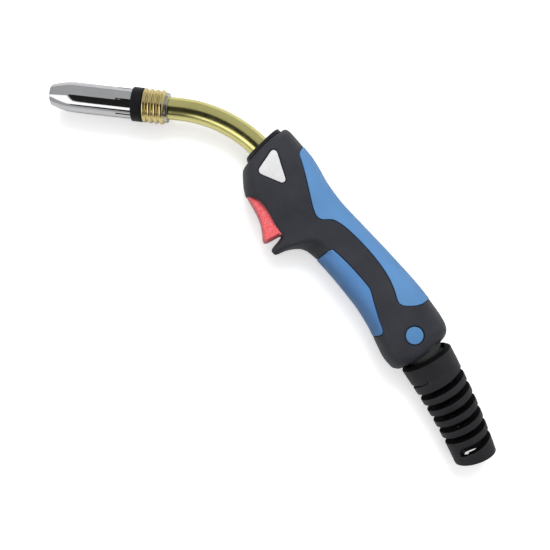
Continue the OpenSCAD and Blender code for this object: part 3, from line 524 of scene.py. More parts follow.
def capped_solid(rings):
    """Closed solid through rings, with a flat face over the first and over the last."""
    count, n = len(rings), len(rings[0])
    caps = [tuple(range(n)), tuple(range((count - 1) * n, count * n))[::-1]]
    return np.concatenate(rings), ring_faces(count, n) + caps


def turned(profile, segments=128):
    """Closed profile of (r, z) turned about z."""
    turns = [(cos(360 * j / segments), sin(360 * j / segments)) for j in range(segments)]
    return rings_solid([[(r * c, r * s, z) for r, z in profile] for c, s in turns])


def merged(*parts):
    """Several (points, faces) as one."""
    points, faces = [], []
    for p, f in parts:
        base = sum(len(q) for q in points)
        points.append(p)
        faces += [tuple(i + base for i in face) for face in f]
    return np.concatenate(points), faces


# ---- Torch head ----

ROOT_DIRECTION = heading(ROOT_ANGLE)
NOZZLE_DIRECTION = -heading(NOZZLE_ANGLE)
BEND_CENTRE = ROOT - NECK_BEND_R * heading(ROOT_ANGLE + 90)
BEND_END = BEND_CENTRE + NECK_BEND_R * heading(NOZZLE_ANGLE + 90)
HEAD = BEND_END + NECK_STRAIGHT * NOZZLE_DIRECTION
NOZZLE_START = RIB_BODY_LEN + RING_LEN - NOZZLE_SEAT_DEPTH
NOZZLE_END = NOZZLE_START + NOZZLE_LEN


def on_nozzle_axis(points):
    return placed(points, HEAD, 180 + NOZZLE_ANGLE)


def taper_radius(u):
    """Outer radius of the nozzle at the share u of its taper, from the mouth."""
    return NOZZLE_MOUTH_OUTER_R + (NOZZLE_R - NOZZLE_MOUTH_OUTER_R) * (1 - (1 - u) ** 1.9)


def make_nozzle():
    """Tube with a curved taper, and spring fingers at its rear end."""
    end, rear = NOZZLE_END, NOZZLE_START
    tip_round = 0.5
    outer = [(NOZZLE_MOUTH_OUTER_R - inset, end - drop)
             for inset, drop in edge_steps(tip_round, (0, 30, 60, 90))]
    outer += [(taper_radius(u), end - tip_round - u * (NOZZLE_TAPER - tip_round))
              for u in np.linspace(0.04, 1, 22)]
    straight = list(np.linspace(end - NOZZLE_TAPER - 3, rear + SLIT_LEN + 2, 6))
    slit_rows = list(np.linspace(rear + SLIT_LEN, rear + 0.4, 9))
    outer += [(NOZZLE_R, z) for z in straight]
    slit_start = len(outer)
    outer += [(NOZZLE_R, z) for z in slit_rows] + [(NOZZLE_R - 0.3, rear)]
    bore_r = NOZZLE_R - NOZZLE_WALL
    inner = [(NOZZLE_MOUTH_R + 0.25, end), (NOZZLE_MOUTH_R, end - 0.1),
             (NOZZLE_MOUTH_R, end - NOZZLE_MOUTH_LEN),
             (taper_radius(0.6) - NOZZLE_WALL, end - 0.6 * NOZZLE_TAPER), (bore_r, end - NOZZLE_TAPER)]
    inner += [(bore_r, z) for z in straight + slit_rows + [rear]]
    profile = outer + inner[::-1]
    rows = len(profile)
    slit_end = slit_start + 2 * len(slit_rows) + 1
    half = math.degrees(math.asin(SLIT_W / 2 / NOZZLE_R))
    angles, slits = [], []
    for i in range(SLITS):
        start = SLIT_TURN + 360 * i / SLITS
        slits.append(len(angles))
        angles += [start - half, start + half]
        angles += list(np.linspace(start + half, start + 360 / SLITS - half, 26)[1:-1])
    points, faces = rings_solid([[(r * cos(a), r * sin(a), z) for r, z in profile] for a in angles])
    open_faces = {j * rows + i for j in slits for i in range(slit_start, slit_end)}
    faces = [face for k, face in enumerate(faces) if k not in open_faces]
    for j in slits:
        a, b = j * rows, (j + 1) * rows
        for side in (a, b):
            for i in range(len(slit_rows)):
                front, back = side + slit_start + i, side + slit_end - i
                faces.append((front, front + 1, back - 1, back))
        faces.append((a + slit_start, a + slit_end, b + slit_end, b + slit_start))
    return on_nozzle_axis(points), faces


def ribbed_profile():
    """Outer contour of the ribbed body, its bores closing it."""
    last = RIB_BODY_LEN - RIB_ROUND_R
    centres = [last - i * RIB_PITCH for i in range(RIB_COUNT)]
    centre_r = RIB_CREST_R - RIB_ROUND_R
    contour = []
    for z in np.linspace(FLANGE_T + 0.5, RIB_BODY_LEN, 150):
        near = min(abs(z - c) for c in centres)
        bead = centre_r + math.sqrt(max(0.0, RIB_ROUND_R ** 2 - near ** 2))
        contour.append((max(bead, RIB_BASE_R), z))
    seat_r, step_r, step_z = SEAT_R + 0.06, NECK_R - 1.2, NECK_SOCKET + 4
    return contour + [(seat_r, RIB_BODY_LEN), (seat_r, step_z), (step_r, step_z), (step_r, NECK_SOCKET),
                      (NECK_FIT, NECK_SOCKET), (NECK_FIT, FLANGE_END)]


def make_head():
    piece("nozzle_fine", *make_nozzle(), CHROME, "nozzle", ["gas_nozzle"], "nozzle_chrome", 30)
    flange = rounded([(NECK_FIT, 0, 0), (FLANGE_R - 0.1, 0, 0.45), (FLANGE_R, FLANGE_END, 0.3),
                      (NECK_FIT, FLANGE_END, 0)])
    ribs = turned(ribbed_profile(), 144)
    points, faces = merged(ribs, turned(flange, 96))
    kinds = [int(k >= len(ribs[1])) for k in range(len(faces))]
    piece("ribbed_body_fine", on_nozzle_axis(points), faces, [BRASS, FLANGE_METAL], "torch",
          ["ribbed_body"], "head_brass", 40, kinds)
    start, stop = RIB_BODY_LEN + 0.01, RIB_BODY_LEN + RING_LEN
    seat_r, bore_r, step_z = SEAT_R + 0.05, NOZZLE_R + 0.12, NOZZLE_START - 0.3
    ring = rounded([(seat_r, start, 0), (RING_R, start, 0.35), (RING_R, stop, 0.8), (bore_r, stop, 0.2),
                    (bore_r, step_z, 0), (seat_r, step_z, 0)])
    points, faces = turned(ring)
    piece("insulating_ring_fine", on_nozzle_axis(points), faces, INSULATOR, "torch",
          ["insulating_ring"], "insulator_black", 35)


def neck_path():
    """Points and directions of the neck's centre line, from inside the handle to the head."""
    line = []
    for s in np.linspace(NECK_BACK, 0, 12, endpoint=False):
        line.append((ROOT + s * ROOT_DIRECTION, -ROOT_DIRECTION))
    for a in np.linspace(ROOT_ANGLE, NOZZLE_ANGLE, 72):
        line.append((BEND_CENTRE + NECK_BEND_R * heading(a + 90), -heading(a)))
    for s in np.linspace(0, NECK_STRAIGHT + NECK_SOCKET - 0.05, 10)[1:]:
        line.append((BEND_END + s * NOZZLE_DIRECTION, NOZZLE_DIRECTION))
    return line


def make_neck(segments=96):
    line = neck_path()
    angles = [360 * j / segments for j in range(segments)]
    rings = []
    for radius, path in ((NECK_R, line), (NECK_BORE_R, line[::-1])):
        for centre, direction in path:
            side = radius * np.array([-direction[1], direction[0]])
            rings.append([(*(centre + side * cos(a)), MID_Z + radius * sin(a)) for a in angles])
    piece("neck_tube_fine", *rings_solid(rings), NECK_METAL, "torch", ["neck_tube"], "neck_brass", 40)


make_head()
make_neck()

# ---- Handle: outlines and the skin's height ----

DRAWN_REAR = 159.4
WAIST_X = 60.0


def stretched(points):
    """Points of the side view, stretched behind the waist to the handle's length."""
    scale = (HANDLE_REAR - WAIST_X) / (DRAWN_REAR - WAIST_X)
    return np.array([(x if x < WAIST_X else WAIST_X + (x - WAIST_X) * scale, y) for x, y in points])


SPINE = stretched([(-28, 23), (-26.4, 25.8), (-24.4, 27.6), (-21, 28.6), (-12, 28.9), (0, 29), (10, 27.9),
                   (25, 25.3), (40, 24.4), (60, 25.5), (90, 27.3), (120, 28.3), (140, 27.4), (150, 26.2),
                   (156, 24.2), (159.5, 21), (161.5, 16), (164, 6)])
KEEL = stretched([(-28, -6), (-25, -10.4), (-22, -14.9), (-18, -18.4), (-10, -23.8), (-4, -26.1), (8, -26.8),
                  (20, -26.6), (31.6, -24.6), (40, -20.5), (50, -17), (60, -15.2), (80, -14.6), (100, -15),
                  (120, -17.4), (135, -21.4), (147, -23.8), (153, -23.6), (156, -21.8), (158, -19),
                  (160, -14), (164, -4)])
HOOK = np.array([(31.6, -24.6), (32.6, -28), (33.3, -32.6), (34.1, -35.2), (35.4, -36.2), (37.6, -36.2),
                 (39, -35.2), (40, -32.6), (41, -29.2), (42.5, -25.7), (45, -21.7), (48, -18.6), (52, -16.4)])
CHEEKS = stretched([(-28, NOSE_HALF), (-25, NOSE_HALF + 1.4), (-17, CHEEK), (12, CHEEK), (45, WAIST),
                    (85, WAIST), (122, CHEEK), (149, CHEEK), (155, CHEEK - 0.7), (158.5, CHEEK - 2.2),
                    (164, CHEEK - 8)])
BACK_EDGE = stretched([(-6.2, 26), (-5.2, 23.5), (-3, 21.2), (2, 18.8), (10, 15), (20, 9.9), (30, 5),
                       (35, 3.1), (38, 2.8), (41.5, 4.4), (46, 9.6), (52, 12.2), (60, 13.8), (75, 15.2),
                       (90, 15), (102, 13.3), (111, 10.4), (116, 8.2), (119, 7.7), (122.5, 8.9), (127, 14),
                       (130, 19.4), (131.5, 26)])
BELLY_EDGE = stretched([(60.2, -18), (60.4, -6), (61.2, -3.6), (63, -2.7), (75, -1.2), (88, -0.6), (97, -0.7),
                        (101, -1.6), (108, -5), (118, -9.6), (126, -12.6), (128.4, -14.4), (128.8, -16.4),
                        (127.4, -22)])
OPENING = np.array([(-6.2, -25.7), (-3, -23.2), (0.3, -21.4), (4, -20.3), (9, -20.1), (15.8, -21.1),
                    (22.4, -22.4), (28, -23.1), (30.4, -24.1), (31.6, -26.2)])
BADGE = [(-18.7, 12.1, 2.6), (8.0, 1.1, 2.4), (-12.6, -9.4, 3.0)]
PLUG = stretched([(143, 1.6)])[0]
PLUG_R = 6.1
SCREWS = stretched([(-12, 21), (57, -8), (133, -14.5), (139, 19.5)])


def curve(points, x):
    """Smooth curve through points that never overshoots, at x."""
    p = np.asarray(points, float)
    slope = np.diff(p[:, 1]) / np.diff(p[:, 0])
    knots = np.concatenate([[slope[0]], np.zeros(len(p) - 2), [slope[-1]]])
    a, b = slope[:-1], slope[1:]
    same = a * b > 0
    knots[1:-1][same] = 2 * a[same] * b[same] / (a[same] + b[same])
    i = np.clip(np.searchsorted(p[:, 0], x, side="right") - 1, 0, len(p) - 2)
    h = p[i + 1, 0] - p[i, 0]
    u = np.clip((x - p[i, 0]) / h, 0, 1)
    v = 1 - u
    return (v * v * (1 + 2 * u) * p[i, 1] + u * u * (1 + 2 * v) * p[i + 1, 1]
            + h * u * v * (v * knots[i] - u * knots[i + 1]))


def smooth_path(points, n=8):
    """Catmull-Rom curve through the points."""
    p, out, last = points, [], len(points) - 1
    for i in range(last):
        a, b, c, d = p[max(0, i - 1)], p[i], p[i + 1], p[min(last, i + 2)]
        for k in range(n):
            u = k / n
            out.append(0.5 * (2 * b + (c - a) * u + (2 * a - 5 * b + 4 * c - d) * u ** 2
                              + (3 * b - a - 3 * c + d) * u ** 3))
    out.append(p[-1])
    return np.array(out)


def evenly(path, spacing):
    """The same path with points a given distance apart."""
    reach = np.concatenate([[0], np.cumsum(np.linalg.norm(np.diff(path, axis=0), axis=1))])
    count = max(2, int(round(reach[-1] / spacing)) + 1)
    at = np.linspace(0, reach[-1], count)
    return np.stack([np.interp(at, reach, path[:, 0]), np.interp(at, reach, path[:, 1])], 1)


def distance(points, path):
    """Distance of each point to a path."""
    a, ab = path[:-1], np.diff(path, axis=0)
    length2 = np.maximum((ab ** 2).sum(1), 1e-12)
    out = np.empty(len(points))
    for start in range(0, len(points), 2000):
        q = points[start:start + 2000, None, :] - a[None]
        t = np.clip((q * ab[None]).sum(2) / length2, 0, 1)
        out[start:start + 2000] = np.sqrt(((q - t[..., None] * ab[None]) ** 2).sum(2)).min(1)
    return out


def inside(points, loop):
    """Which points lie in a closed outline."""
    x, y = points[:, 0], points[:, 1]
    result = np.zeros(len(points), bool)
    for (x0, y0), (x1, y1) in zip(loop, np.roll(loop, -1, axis=0)):
        crosses = (y0 > y) != (y1 > y)
        if y1 != y0:
            result ^= crosses & (x < (x1 - x0) * (y - y0) / (y1 - y0) + x0)
    return result


def hooked_keel(x):
    """Lower edge of the side view with its finger stop."""
    low = curve(KEEL, x)
    hook = (x > HOOK[0, 0]) & (x < HOOK[-1, 0])
    return np.where(hook, np.minimum(low, curve(HOOK, x)), low)


SIDE_X = np.arange(-28, 164.01, 0.1)
LOW_EDGE = evenly(np.stack([SIDE_X, hooked_keel(SIDE_X)], 1), 0.7)
TOP_EDGE = evenly(np.stack([SIDE_X, curve(SPINE, SIDE_X)], 1), 0.9)


def rise(d, r):
    u = np.clip(d / r, 0, 1)
    return np.sqrt(1 - (1 - u) ** 2)


def step(x, start, end):
    """Smooth step from 0 at start to 1 at end."""
    t = np.clip((x - start) / (end - start), 0, 1)
    return t * t * (3 - 2 * t)


LEAN = 6.0                  # how far the cheek in front of the waist leans in, at 15 mm below LEAN_Y
LEAN_Y = -8.0
MIN_CHEEK = 3.0
# finger stop: the crease behind it, and where the belly's tight rounding beside the trigger ends
CREASE = np.array([(38, -34), (39.6, -25), (41.6, -19), (44.6, -11), (48, -6.6), (54, -5.2), (64, -4.6)])
TIGHT_ROUND = 3.4
TIGHT_END_X = 42.0
DISH_DEPTH = 0.9
CREASE_DEPTH = 2.4


def skin_height(p):
    """Height of the handle's skin above the parting plane at points of the side view."""
    x, y = p[:, 0], p[:, 1]
    low = np.maximum(0, LEAN_Y - y) / 15
    along = np.clip(1 - (x - 48) / 14, 0, 1)
    cheek = np.minimum(CHEEK, np.maximum(MIN_CHEEK, curve(CHEEKS, x) - LEAN * along * low ** 1.5))
    before = BELLY_ROUND - (BELLY_ROUND - TIGHT_ROUND) * step(x, 13, 24)
    after = np.minimum(BELLY_ROUND, TIGHT_ROUND + (x - TIGHT_END_X) * 0.8)
    belly_round = np.where(x < TIGHT_END_X, before, after)
    base = cheek * rise(distance(p, LOW_EDGE), belly_round) * rise(distance(p, TOP_EDGE), SPINE_ROUND)
    # shallow dish over the trigger, and the fall behind the finger stop's crease
    dish = step(x, -4, 10) * (1 - step(x, 24, 36)) * step(-y, 1.5, 9)
    crease = smooth_path(CREASE)
    side_x = np.interp(y, crease[:, 1], crease[:, 0], left=37.5, right=70)
    behind = step(x - side_x, 0, 9) * step(-y, 3.6, 8.5) * (1 - step(x, 58, 72))
    fall = CREASE_DEPTH * behind * np.clip(base / 12, 0, 1)
    return np.maximum(0, base - DISH_DEPTH * dish * (base > 4) - fall)


# ---- Handle: fine skin by constrained triangles ----


def offset_path(path, d):
    """Points beside a path, at the distance d to its left, with the path's own count."""
    tangent = np.gradient(path, axis=0)
    tangent /= np.maximum(np.linalg.norm(tangent, axis=1, keepdims=True), 1e-9)
    return path + d * np.stack([-tangent[:, 1], tangent[:, 0]], 1)


def reach(edge, y):
    """Closed outline of an edge that goes on past the handle's side."""
    return np.concatenate([edge, [[edge[-1, 0], y], [edge[0, 0], y]]])


def cut_line(foot, angle, setback=0.0):
    """Ends of the line of a plane seen from the side, moved along its normal."""
    base, along = foot + setback * heading(angle), 60 * heading(angle + 90)
    return np.array([base - along, base + along])


def plane_depth(p, foot, angle):
    return (p - foot) @ heading(angle)


BACK_LOOP = reach(evenly(smooth_path(BACK_EDGE), 0.8), 40)
BELLY_LOOP = reach(evenly(smooth_path(BELLY_EDGE), 0.8), -40)
OPENING_LOOP = reach(evenly(smooth_path(OPENING), 0.7), -45)
BADGE_LOOP = rounded(BADGE, 12)
BADGE_GROOVE = 0.7
PLUG_GROOVE = 0.75
# rows of points: within a seam's rounding, behind the cut ends and along the outline, and the grid's step
FILLET = (0.0, 0.06, 0.17, 0.32, 0.5)
CUT_ROWS = (0.0, 0.1, 0.3, 0.6, 1.0, 1.5)
EDGE_ROWS = (0.05, 0.2, 0.45)
GRID = 1.15
SHELL_FILLET = 0.5


def round_drop(d, r):
    """How far a rounded edge of radius r lies below the surface, at the distance d from it."""
    u = np.clip(d / r, 0, 1)
    return r * (1 - np.sqrt(np.maximum(0, 1 - (1 - u) ** 2)))


def closed(path):
    return np.concatenate([path, path[:1]])


class Outline:
    """A seam on the cheek: its path, and the side of it that the shell keeps."""

    def __init__(self, edge, loop, spacing=0.8):
        self.path = evenly(smooth_path(edge), spacing)
        probe = offset_path(self.path, 0.4)
        middle = len(probe) // 2
        self.outward = -1.0 if inside(probe[middle:middle + 1], loop)[0] else 1.0

    def rings(self, inner=True):
        """Paths beside the seam in the shell, and in the grip too if inner."""
        out = [offset_path(self.path, self.outward * d) for d in FILLET + (1.0,)]
        if inner:
            out += [offset_path(self.path, -self.outward * (GRIP_GAP + d)) for d in FILLET + (1.0,)]
        return out


def full_circle(centre, r, n=72):
    return np.array([centre + r * heading(360 * k / n) for k in range(n)])


def offset_loop(loop, d):
    """Closed outline grown by d."""
    tangent = np.roll(loop, -1, axis=0) - np.roll(loop, 1, axis=0)
    tangent /= np.maximum(np.linalg.norm(tangent, axis=1, keepdims=True), 1e-9)
    area = 0.5 * np.sum(loop[:, 0] * np.roll(loop[:, 1], -1) - np.roll(loop[:, 0], -1) * loop[:, 1])
    return loop + math.copysign(1.0, area) * d * np.stack([tangent[:, 1], -tangent[:, 0]], 1)


SEAMS = {
    "back": Outline(BACK_EDGE, BACK_LOOP),
    "belly": Outline(BELLY_EDGE, BELLY_LOOP),
    "opening": Outline(OPENING, OPENING_LOOP, 0.7),
}


def openings(left, grow=0.0):
    """Outlines of what is let into one cheek, grown: badge and plug on the left, screws on the right."""
    if left:
        badge = offset_loop(offset_loop(BADGE_LOOP, BADGE_GROOVE), grow)
        return [closed(badge), closed(full_circle(PLUG, PLUG_R + PLUG_GROOVE + grow))]
    return [closed(full_circle(p, SCREW_HOLE_R + grow, 40)) for p in SCREWS]


def cheek_points(left):
    """2D points and seam chains for one half, dense along edges and seams."""
    chains = [LOW_EDGE, TOP_EDGE]
    for foot, angle, inward in ((NOSE, NOSE_ANGLE, 1), (REAR, REAR_ANGLE, -1)):
        for d in CUT_ROWS:
            chains.append(evenly(cut_line(foot, angle, inward * d), 0.9))
    for seam in SEAMS.values():
        chains += seam.rings(inner=seam is not SEAMS["opening"])
    for grown in zip(*(openings(left, d) for d in FILLET + (1.1,))):
        chains += grown
    loose = []
    for path, inward, radius in ((LOW_EDGE, 1, BELLY_ROUND), (TOP_EDGE, -1, SPINE_ROUND)):
        for phi in range(9, 91, 9):
            d = radius * (1 - cos(phi))
            ring = offset_path(path, inward * d)
            loose.append(ring[np.minimum(distance(ring, LOW_EDGE), distance(ring, TOP_EDGE)) > 0.97 * d])
        for d in EDGE_ROWS:
            ring = offset_path(path, inward * d)
            loose.append(ring[distance(ring, path) > 0.97 * d])
    xs, ys = np.meshgrid(np.arange(-27.5, 164, GRID), np.arange(-36, 29, GRID))
    loose.append(np.stack([xs.ravel() + 0.3 * np.cos(ys.ravel() * 7), ys.ravel()], 1))
    loose = np.concatenate(loose)
    low, top = hooked_keel(loose[:, 0]), curve(SPINE, loose[:, 0])
    loose = loose[(loose[:, 1] > low + 0.03) & (loose[:, 1] < top - 0.03)]
    return thinned(loose, chains), chains


def thinned(loose, chains):
    """Loose points that keep clear of the seam chains and of each other."""
    near = np.full(len(loose), 1e9)
    for chain in chains[2:]:
        near = np.minimum(near, distance(loose, chain))
    edge = np.minimum(distance(loose, LOW_EDGE), distance(loose, TOP_EDGE))
    cell, dense_rim, outline_rim = 0.55, 2.0, 0.6
    clear = (near > 0.28) | ((edge < outline_rim) & (near > 0.1))
    kept, used = [], set()
    for p, e in zip(loose[clear], edge[clear]):
        key = (round(p[0] / cell), round(p[1] / cell))
        if e <= dense_rim or key not in used:
            kept.append(p)
        if e > dense_rim:
            used.add(key)
    return np.array(kept)


def triangulate(loose, chains):
    """Constrained Delaunay triangles of the points and chains."""
    verts, edges = [Vector(p) for p in loose], []
    for chain in chains:
        base = len(verts)
        verts += [Vector(p) for p in chain]
        edges += [(base + k, base + k + 1) for k in range(len(chain) - 1)]
    points, _, triangles, *_ = delaunay_2d_cdt(verts, edges, [], 0, 1e-5)
    return np.array([tuple(p) for p in points]), np.array(triangles)


def surface_normals(points, triangles):
    """Vertex normals of the un-displaced skin; at the parting line they lie in its plane."""
    a, b, c = (points[triangles[:, k]] for k in range(3))
    face = np.cross(b - a, c - a)
    normals = np.zeros_like(points)
    for k in range(3):
        np.add.at(normals, triangles[:, k], face)
    normals[points[:, 2] < 1e-3, 2] = 0
    length = np.maximum(np.linalg.norm(normals, axis=1, keepdims=True), 1e-9)
    return normals / length


def make_skin(left):
    """Triangulated skin of one half: points, normals and the triangles within its outline."""
    flat, triangles = triangulate(*cheek_points(left))
    centre = flat[triangles].mean(1)
    keep = inside(centre, np.concatenate([LOW_EDGE, TOP_EDGE[::-1]]))
    keep &= plane_depth(centre, NOSE, NOSE_ANGLE) > 0
    keep &= plane_depth(centre, REAR, REAR_ANGLE) < 0
    keep &= ~inside(centre, OPENING_LOOP)
    triangles, centre = triangles[keep], centre[keep]
    a, b, c = (flat[triangles[:, k]] for k in range(3))
    area = (b - a)[:, 0] * (c - a)[:, 1] - (b - a)[:, 1] * (c - a)[:, 0]
    triangles = np.where(area[:, None] < 0, triangles[:, ::-1], triangles)
    solid = np.abs(area) > 1e-7
    triangles, centre = triangles[solid], centre[solid]
    height = skin_height(flat)
    height[np.minimum(distance(flat, LOW_EDGE), distance(flat, TOP_EDGE)) < 1e-4] = 0
    points = np.column_stack([flat, height])
    return points, surface_normals(points, triangles), triangles, centre


def chunk(points, normals, triangles, lift, wall, inner=None):
    """Closed solid of some triangles of the skin, lifted along its normals, with a wall inwards."""
    used, index = np.unique(triangles, return_inverse=True)
    index = index.reshape(-1, 3)
    top = points[used] + normals[used] * lift[used, None]
    top[:, 2] = np.minimum(top[:, 2], CHEEK)
    bottom = points[used] + normals[used] * (lift[used] - wall)[:, None] if inner is None else inner[used]
    bottom[:, 2] = np.maximum(bottom[:, 2], 0)
    flat = points[used, 2] < 1e-3
    top[flat, 2] = 0
    bottom[flat, 2] = 0
    n = len(used)
    faces = [tuple(t) for t in index] + [tuple(t[::-1] + n) for t in index]
    edges = dict.fromkeys((int(t[k]), int(t[k - 2])) for t in index for k in range(3))
    faces += [(b, a, a + n, b + n) for a, b in edges if (b, a) not in edges]
    return np.concatenate([top, bottom]), faces


def half_placed(shape, left):
    """A shape of heights above the parting plane, placed on the left or on the right half."""
    points, faces = shape
    return points * (1, 1, 1 if left else -1) + (0, 0, MID_Z), faces


def rim_inner(points, normals, wall):
    """Inner side of the shell, drawn in to the nose collar in front and to the ball's lip behind."""
    inner = points - normals * wall
    front = plane_depth(points[:, :2], NOSE, NOSE_ANGLE)
    inner -= normals * (NOSE_LIP * (1 - step(front, 0.5, 4)))[:, None]
    at_rear = plane_depth(points[:, :2], REAR, REAR_ANGLE) > -1e-3
    across = heading(REAR_ANGLE + 90)
    y = (points[:, :2] - REAR) @ across
    size = np.maximum(np.hypot(y, points[:, 2]), 1e-6)
    rear = np.column_stack([REAR + np.outer(y / size * LIP_R, across), points[:, 2] / size * LIP_R])
    inner[at_rear] = rear[at_rear]
    return inner


def make_half(left):
    side = "left" if left else "right"
    points, normals, triangles, centre = make_skin(left)
    flat = points[:, :2]
    in_back, in_belly = inside(centre, BACK_LOOP), inside(centre, BELLY_LOOP)
    rims = openings(left)
    circles = [(PLUG, PLUG_R + PLUG_GROOVE)] if left else [(p, SCREW_HOLE_R) for p in SCREWS]
    hole = np.any([np.linalg.norm(centre - p, axis=1) < r for p, r in circles], axis=0)
    if left:
        hole |= inside(centre, rims[0])
    drop = np.zeros(len(flat))
    for rim in rims + [seam.path for seam in SEAMS.values()]:
        drop = np.maximum(drop, round_drop(distance(flat, rim), SHELL_FILLET))
    for foot, angle, fillet in ((NOSE, NOSE_ANGLE, NOSE_FILLET), (REAR, REAR_ANGLE, REAR_FILLET)):
        drop = np.maximum(drop, round_drop(np.abs(plane_depth(flat, foot, angle)), fillet))
    shell = triangles[~in_back & ~in_belly & ~hole]
    solid = chunk(points, normals, shell, -drop, WALL, rim_inner(points, normals, WALL))
    piece(f"handle_{side}_shell_fine", *half_placed(solid, left), SHELL_BLACK, "torch",
          [f"handle_{side}_shell"], "shell_black", 40)
    for name, within, material, slot in (("back", in_back, BACK_BLUE, "grip_back"),
                                         ("belly", in_belly, BELLY_BLUE_SHADED, "grip_belly")):
        seam = SEAMS[name]
        d = distance(centre, seam.path)
        grip = triangles[within & (d > GRIP_GAP)]
        lift = GRIP_PROUD - round_drop(distance(flat, seam.path) - GRIP_GAP, EDGE_ROUND)
        solid = chunk(points, normals, grip, lift, GRIP_T)
        piece(f"{name}_grip_{side}_fine", *half_placed(solid, left), material, "torch",
              [f"{name}_grip_{side}"], slot, 40)


def plate(loop, top_z, bottom_z, edge):
    """Flat plate with a rounded upper edge, from a closed outline and heights above the parting plane."""
    rings = [level(loop, bottom_z)]
    rings += [level(offset_loop(loop, -inset), top_z - drop) for drop, inset in edge_steps(edge)]
    middle = [np.mean(loop, axis=0)]
    n, count = len(loop), len(rings)
    faces = ring_faces(count, n)
    for first, hub in ((0, count * n), ((count - 1) * n, count * n + 1)):
        faces += [(first + j, first + (j + 1) % n, hub) for j in range(n)]
    return np.concatenate([*rings, level(middle, bottom_z), level(middle, top_z)]), faces


def make_badge_and_plug():
    """Badge plate and blue plug, and the bare seat under each of them."""
    def in_cheek(loop, top, bottom, edge):
        return half_placed(plate(loop, CHEEK - top, CHEEK - bottom, edge), True)

    piece("badge_plate_fine", *in_cheek(BADGE_LOOP, 0.05, 1.2, 0.45), BADGE_WHITE, "torch", ["badge_plate"],
          "badge_white")
    piece("side_plug_fine", *in_cheek(full_circle(PLUG, PLUG_R, 96), 0.15, 1.6, 0.6), PLUG_BLUE, "torch",
          ["side_plug"], "plug_blue")
    # the seats take the darker collar black, not the shell's black: painted shade in the grooves round badge
    # and plug
    for loop, name in ((offset_loop(BADGE_LOOP, BADGE_GROOVE + 0.6), "badge_seat"),
                       (full_circle(PLUG, PLUG_R + PLUG_GROOVE + 0.6), "plug_seat")):
        piece(name, *in_cheek(loop, 1.2, 2.2, 0.1), COLLAR_BLACK, "torch", [], "shell_black")


make_half(True)
make_half(False)
make_badge_and_plug()

# ---- Nose collar, trigger and screws ----

COLLAR_H = 31.0
COLLAR_W = 28.5
COLLAR_Y = 0.6
COLLAR_T = 3.2
COLLAR_DEPTH = 6.0
COLLAR_TENON = WALL + 1.4
COLLAR_CORNER = 9.0
NECK_AXIS_Y = -1.66         # where the neck's axis crosses the nose plane, from the plane's foot
TRIGGER_OUTER = [(-5.8, -25.1), (0, -26.2), (8, -27.7), (15.5, -30.2), (21.5, -33.6), (25, -36.1),
                 (26.8, -36.7), (28.3, -35.6), (29.4, -31.4), (30.6, -25.4)]
TRIGGER_INNER = [(-5.8, -24.3), (-3.6, -18.8), (-1.6, -16.4), (3, -15.8), (8, -17), (20, -18.6),
                 (29.6, -19.8), (30.6, -21)]
TRIGGER_ROUND = 2.4


def make_nose_collar():
    """Frame of the handle's nose, with the neck's round bore in a rounded rectangle."""
    def outline(shrink, z):
        w, h = COLLAR_W / 2 - shrink, COLLAR_H / 2 - shrink
        loop = rounded([(w, h, COLLAR_CORNER), (-w, h, COLLAR_CORNER), (-w, -h, COLLAR_CORNER),
                        (w, -h, COLLAR_CORNER)], 12)
        return level(loop + (0, COLLAR_Y), z)

    full = outline(0, 0)
    centre = np.array([0, NECK_AXIS_Y])
    turn = np.arctan2(full[:, 1] - centre[1], full[:, 0] - centre[0])

    def hole(r, z):
        return level(centre + r * np.column_stack([np.cos(turn), np.sin(turn)]), z)

    bore = NECK_R + 0.12
    rings = [hole(bore, -COLLAR_T + 0.5), hole(bore + 0.15, -COLLAR_T + 0.15), hole(bore + 0.5, -COLLAR_T)]
    rings += [outline(inset, -COLLAR_T + drop) for inset, drop in edge_steps(0.7)]
    rings += [outline(0, -0.45), outline(0.25, -0.12), outline(COLLAR_TENON, -0.12),
              outline(COLLAR_TENON, COLLAR_DEPTH), hole(bore, COLLAR_DEPTH)]
    points, faces = rings_solid(rings)
    piece("nose_collar_fine", placed(points, NOSE, NOSE_ANGLE), faces, COLLAR_BLACK, "torch",
          ["nose_collar"], "shell_black", 40)


def trigger_width(x):
    return curve([(-8, TRIGGER_HALF - 5), (-2, TRIGGER_HALF - 2.4), (4, TRIGGER_HALF), (32, TRIGGER_HALF)], x)


def make_trigger():
    """Finger lever with rounded flanks and a shallow finger dish in each of them."""
    start, end = TRIGGER_OUTER[0][0], TRIGGER_OUTER[-1][0]
    xs = np.concatenate([np.linspace(start, 25.5, 64), np.linspace(25.8, end, 40)])
    low = curve(TRIGGER_OUTER, xs)
    top = curve(TRIGGER_INNER, xs)
    low_path = evenly(np.stack([xs, low], 1), 0.3)
    share = np.concatenate([[0, 0.004, 0.015, 0.035], np.linspace(0.06, 1, 26)])
    rings = []
    for x, y0, y1 in zip(xs, low, top):
        y = y0 + (y1 - y0) * share
        p = np.stack([np.full(len(y), x), y], 1)
        d = distance(p, low_path)
        z = trigger_width(x) * rise(d, TRIGGER_ROUND)
        z -= 0.5 * step(d, 2.5, 5.5) * step(x, 2, 8) * (1 - step(x, 20, 23.5))
        z = np.minimum(z, trigger_width(x) - round_drop(end - x, 0.8) - round_drop(x - start, 0.8))
        z[0] = 0
        upper = np.stack([p[:, 0], p[:, 1], np.maximum(z, 0)], 1)
        lower = upper[1:] * np.array([1, 1, -1])
        rings.append(np.concatenate([upper[::-1], lower]))
    piece("trigger_fine", *half_placed(capped_solid(rings), True), TRIGGER_RED, "trigger", ["trigger"],
          "trigger_red", 48)


def hexagon(apothem, n):
    """Radii of a hexagon at n even angles."""
    return [apothem / cos(((360 * k / n + 30) % 60) - 30) for k in range(n)]


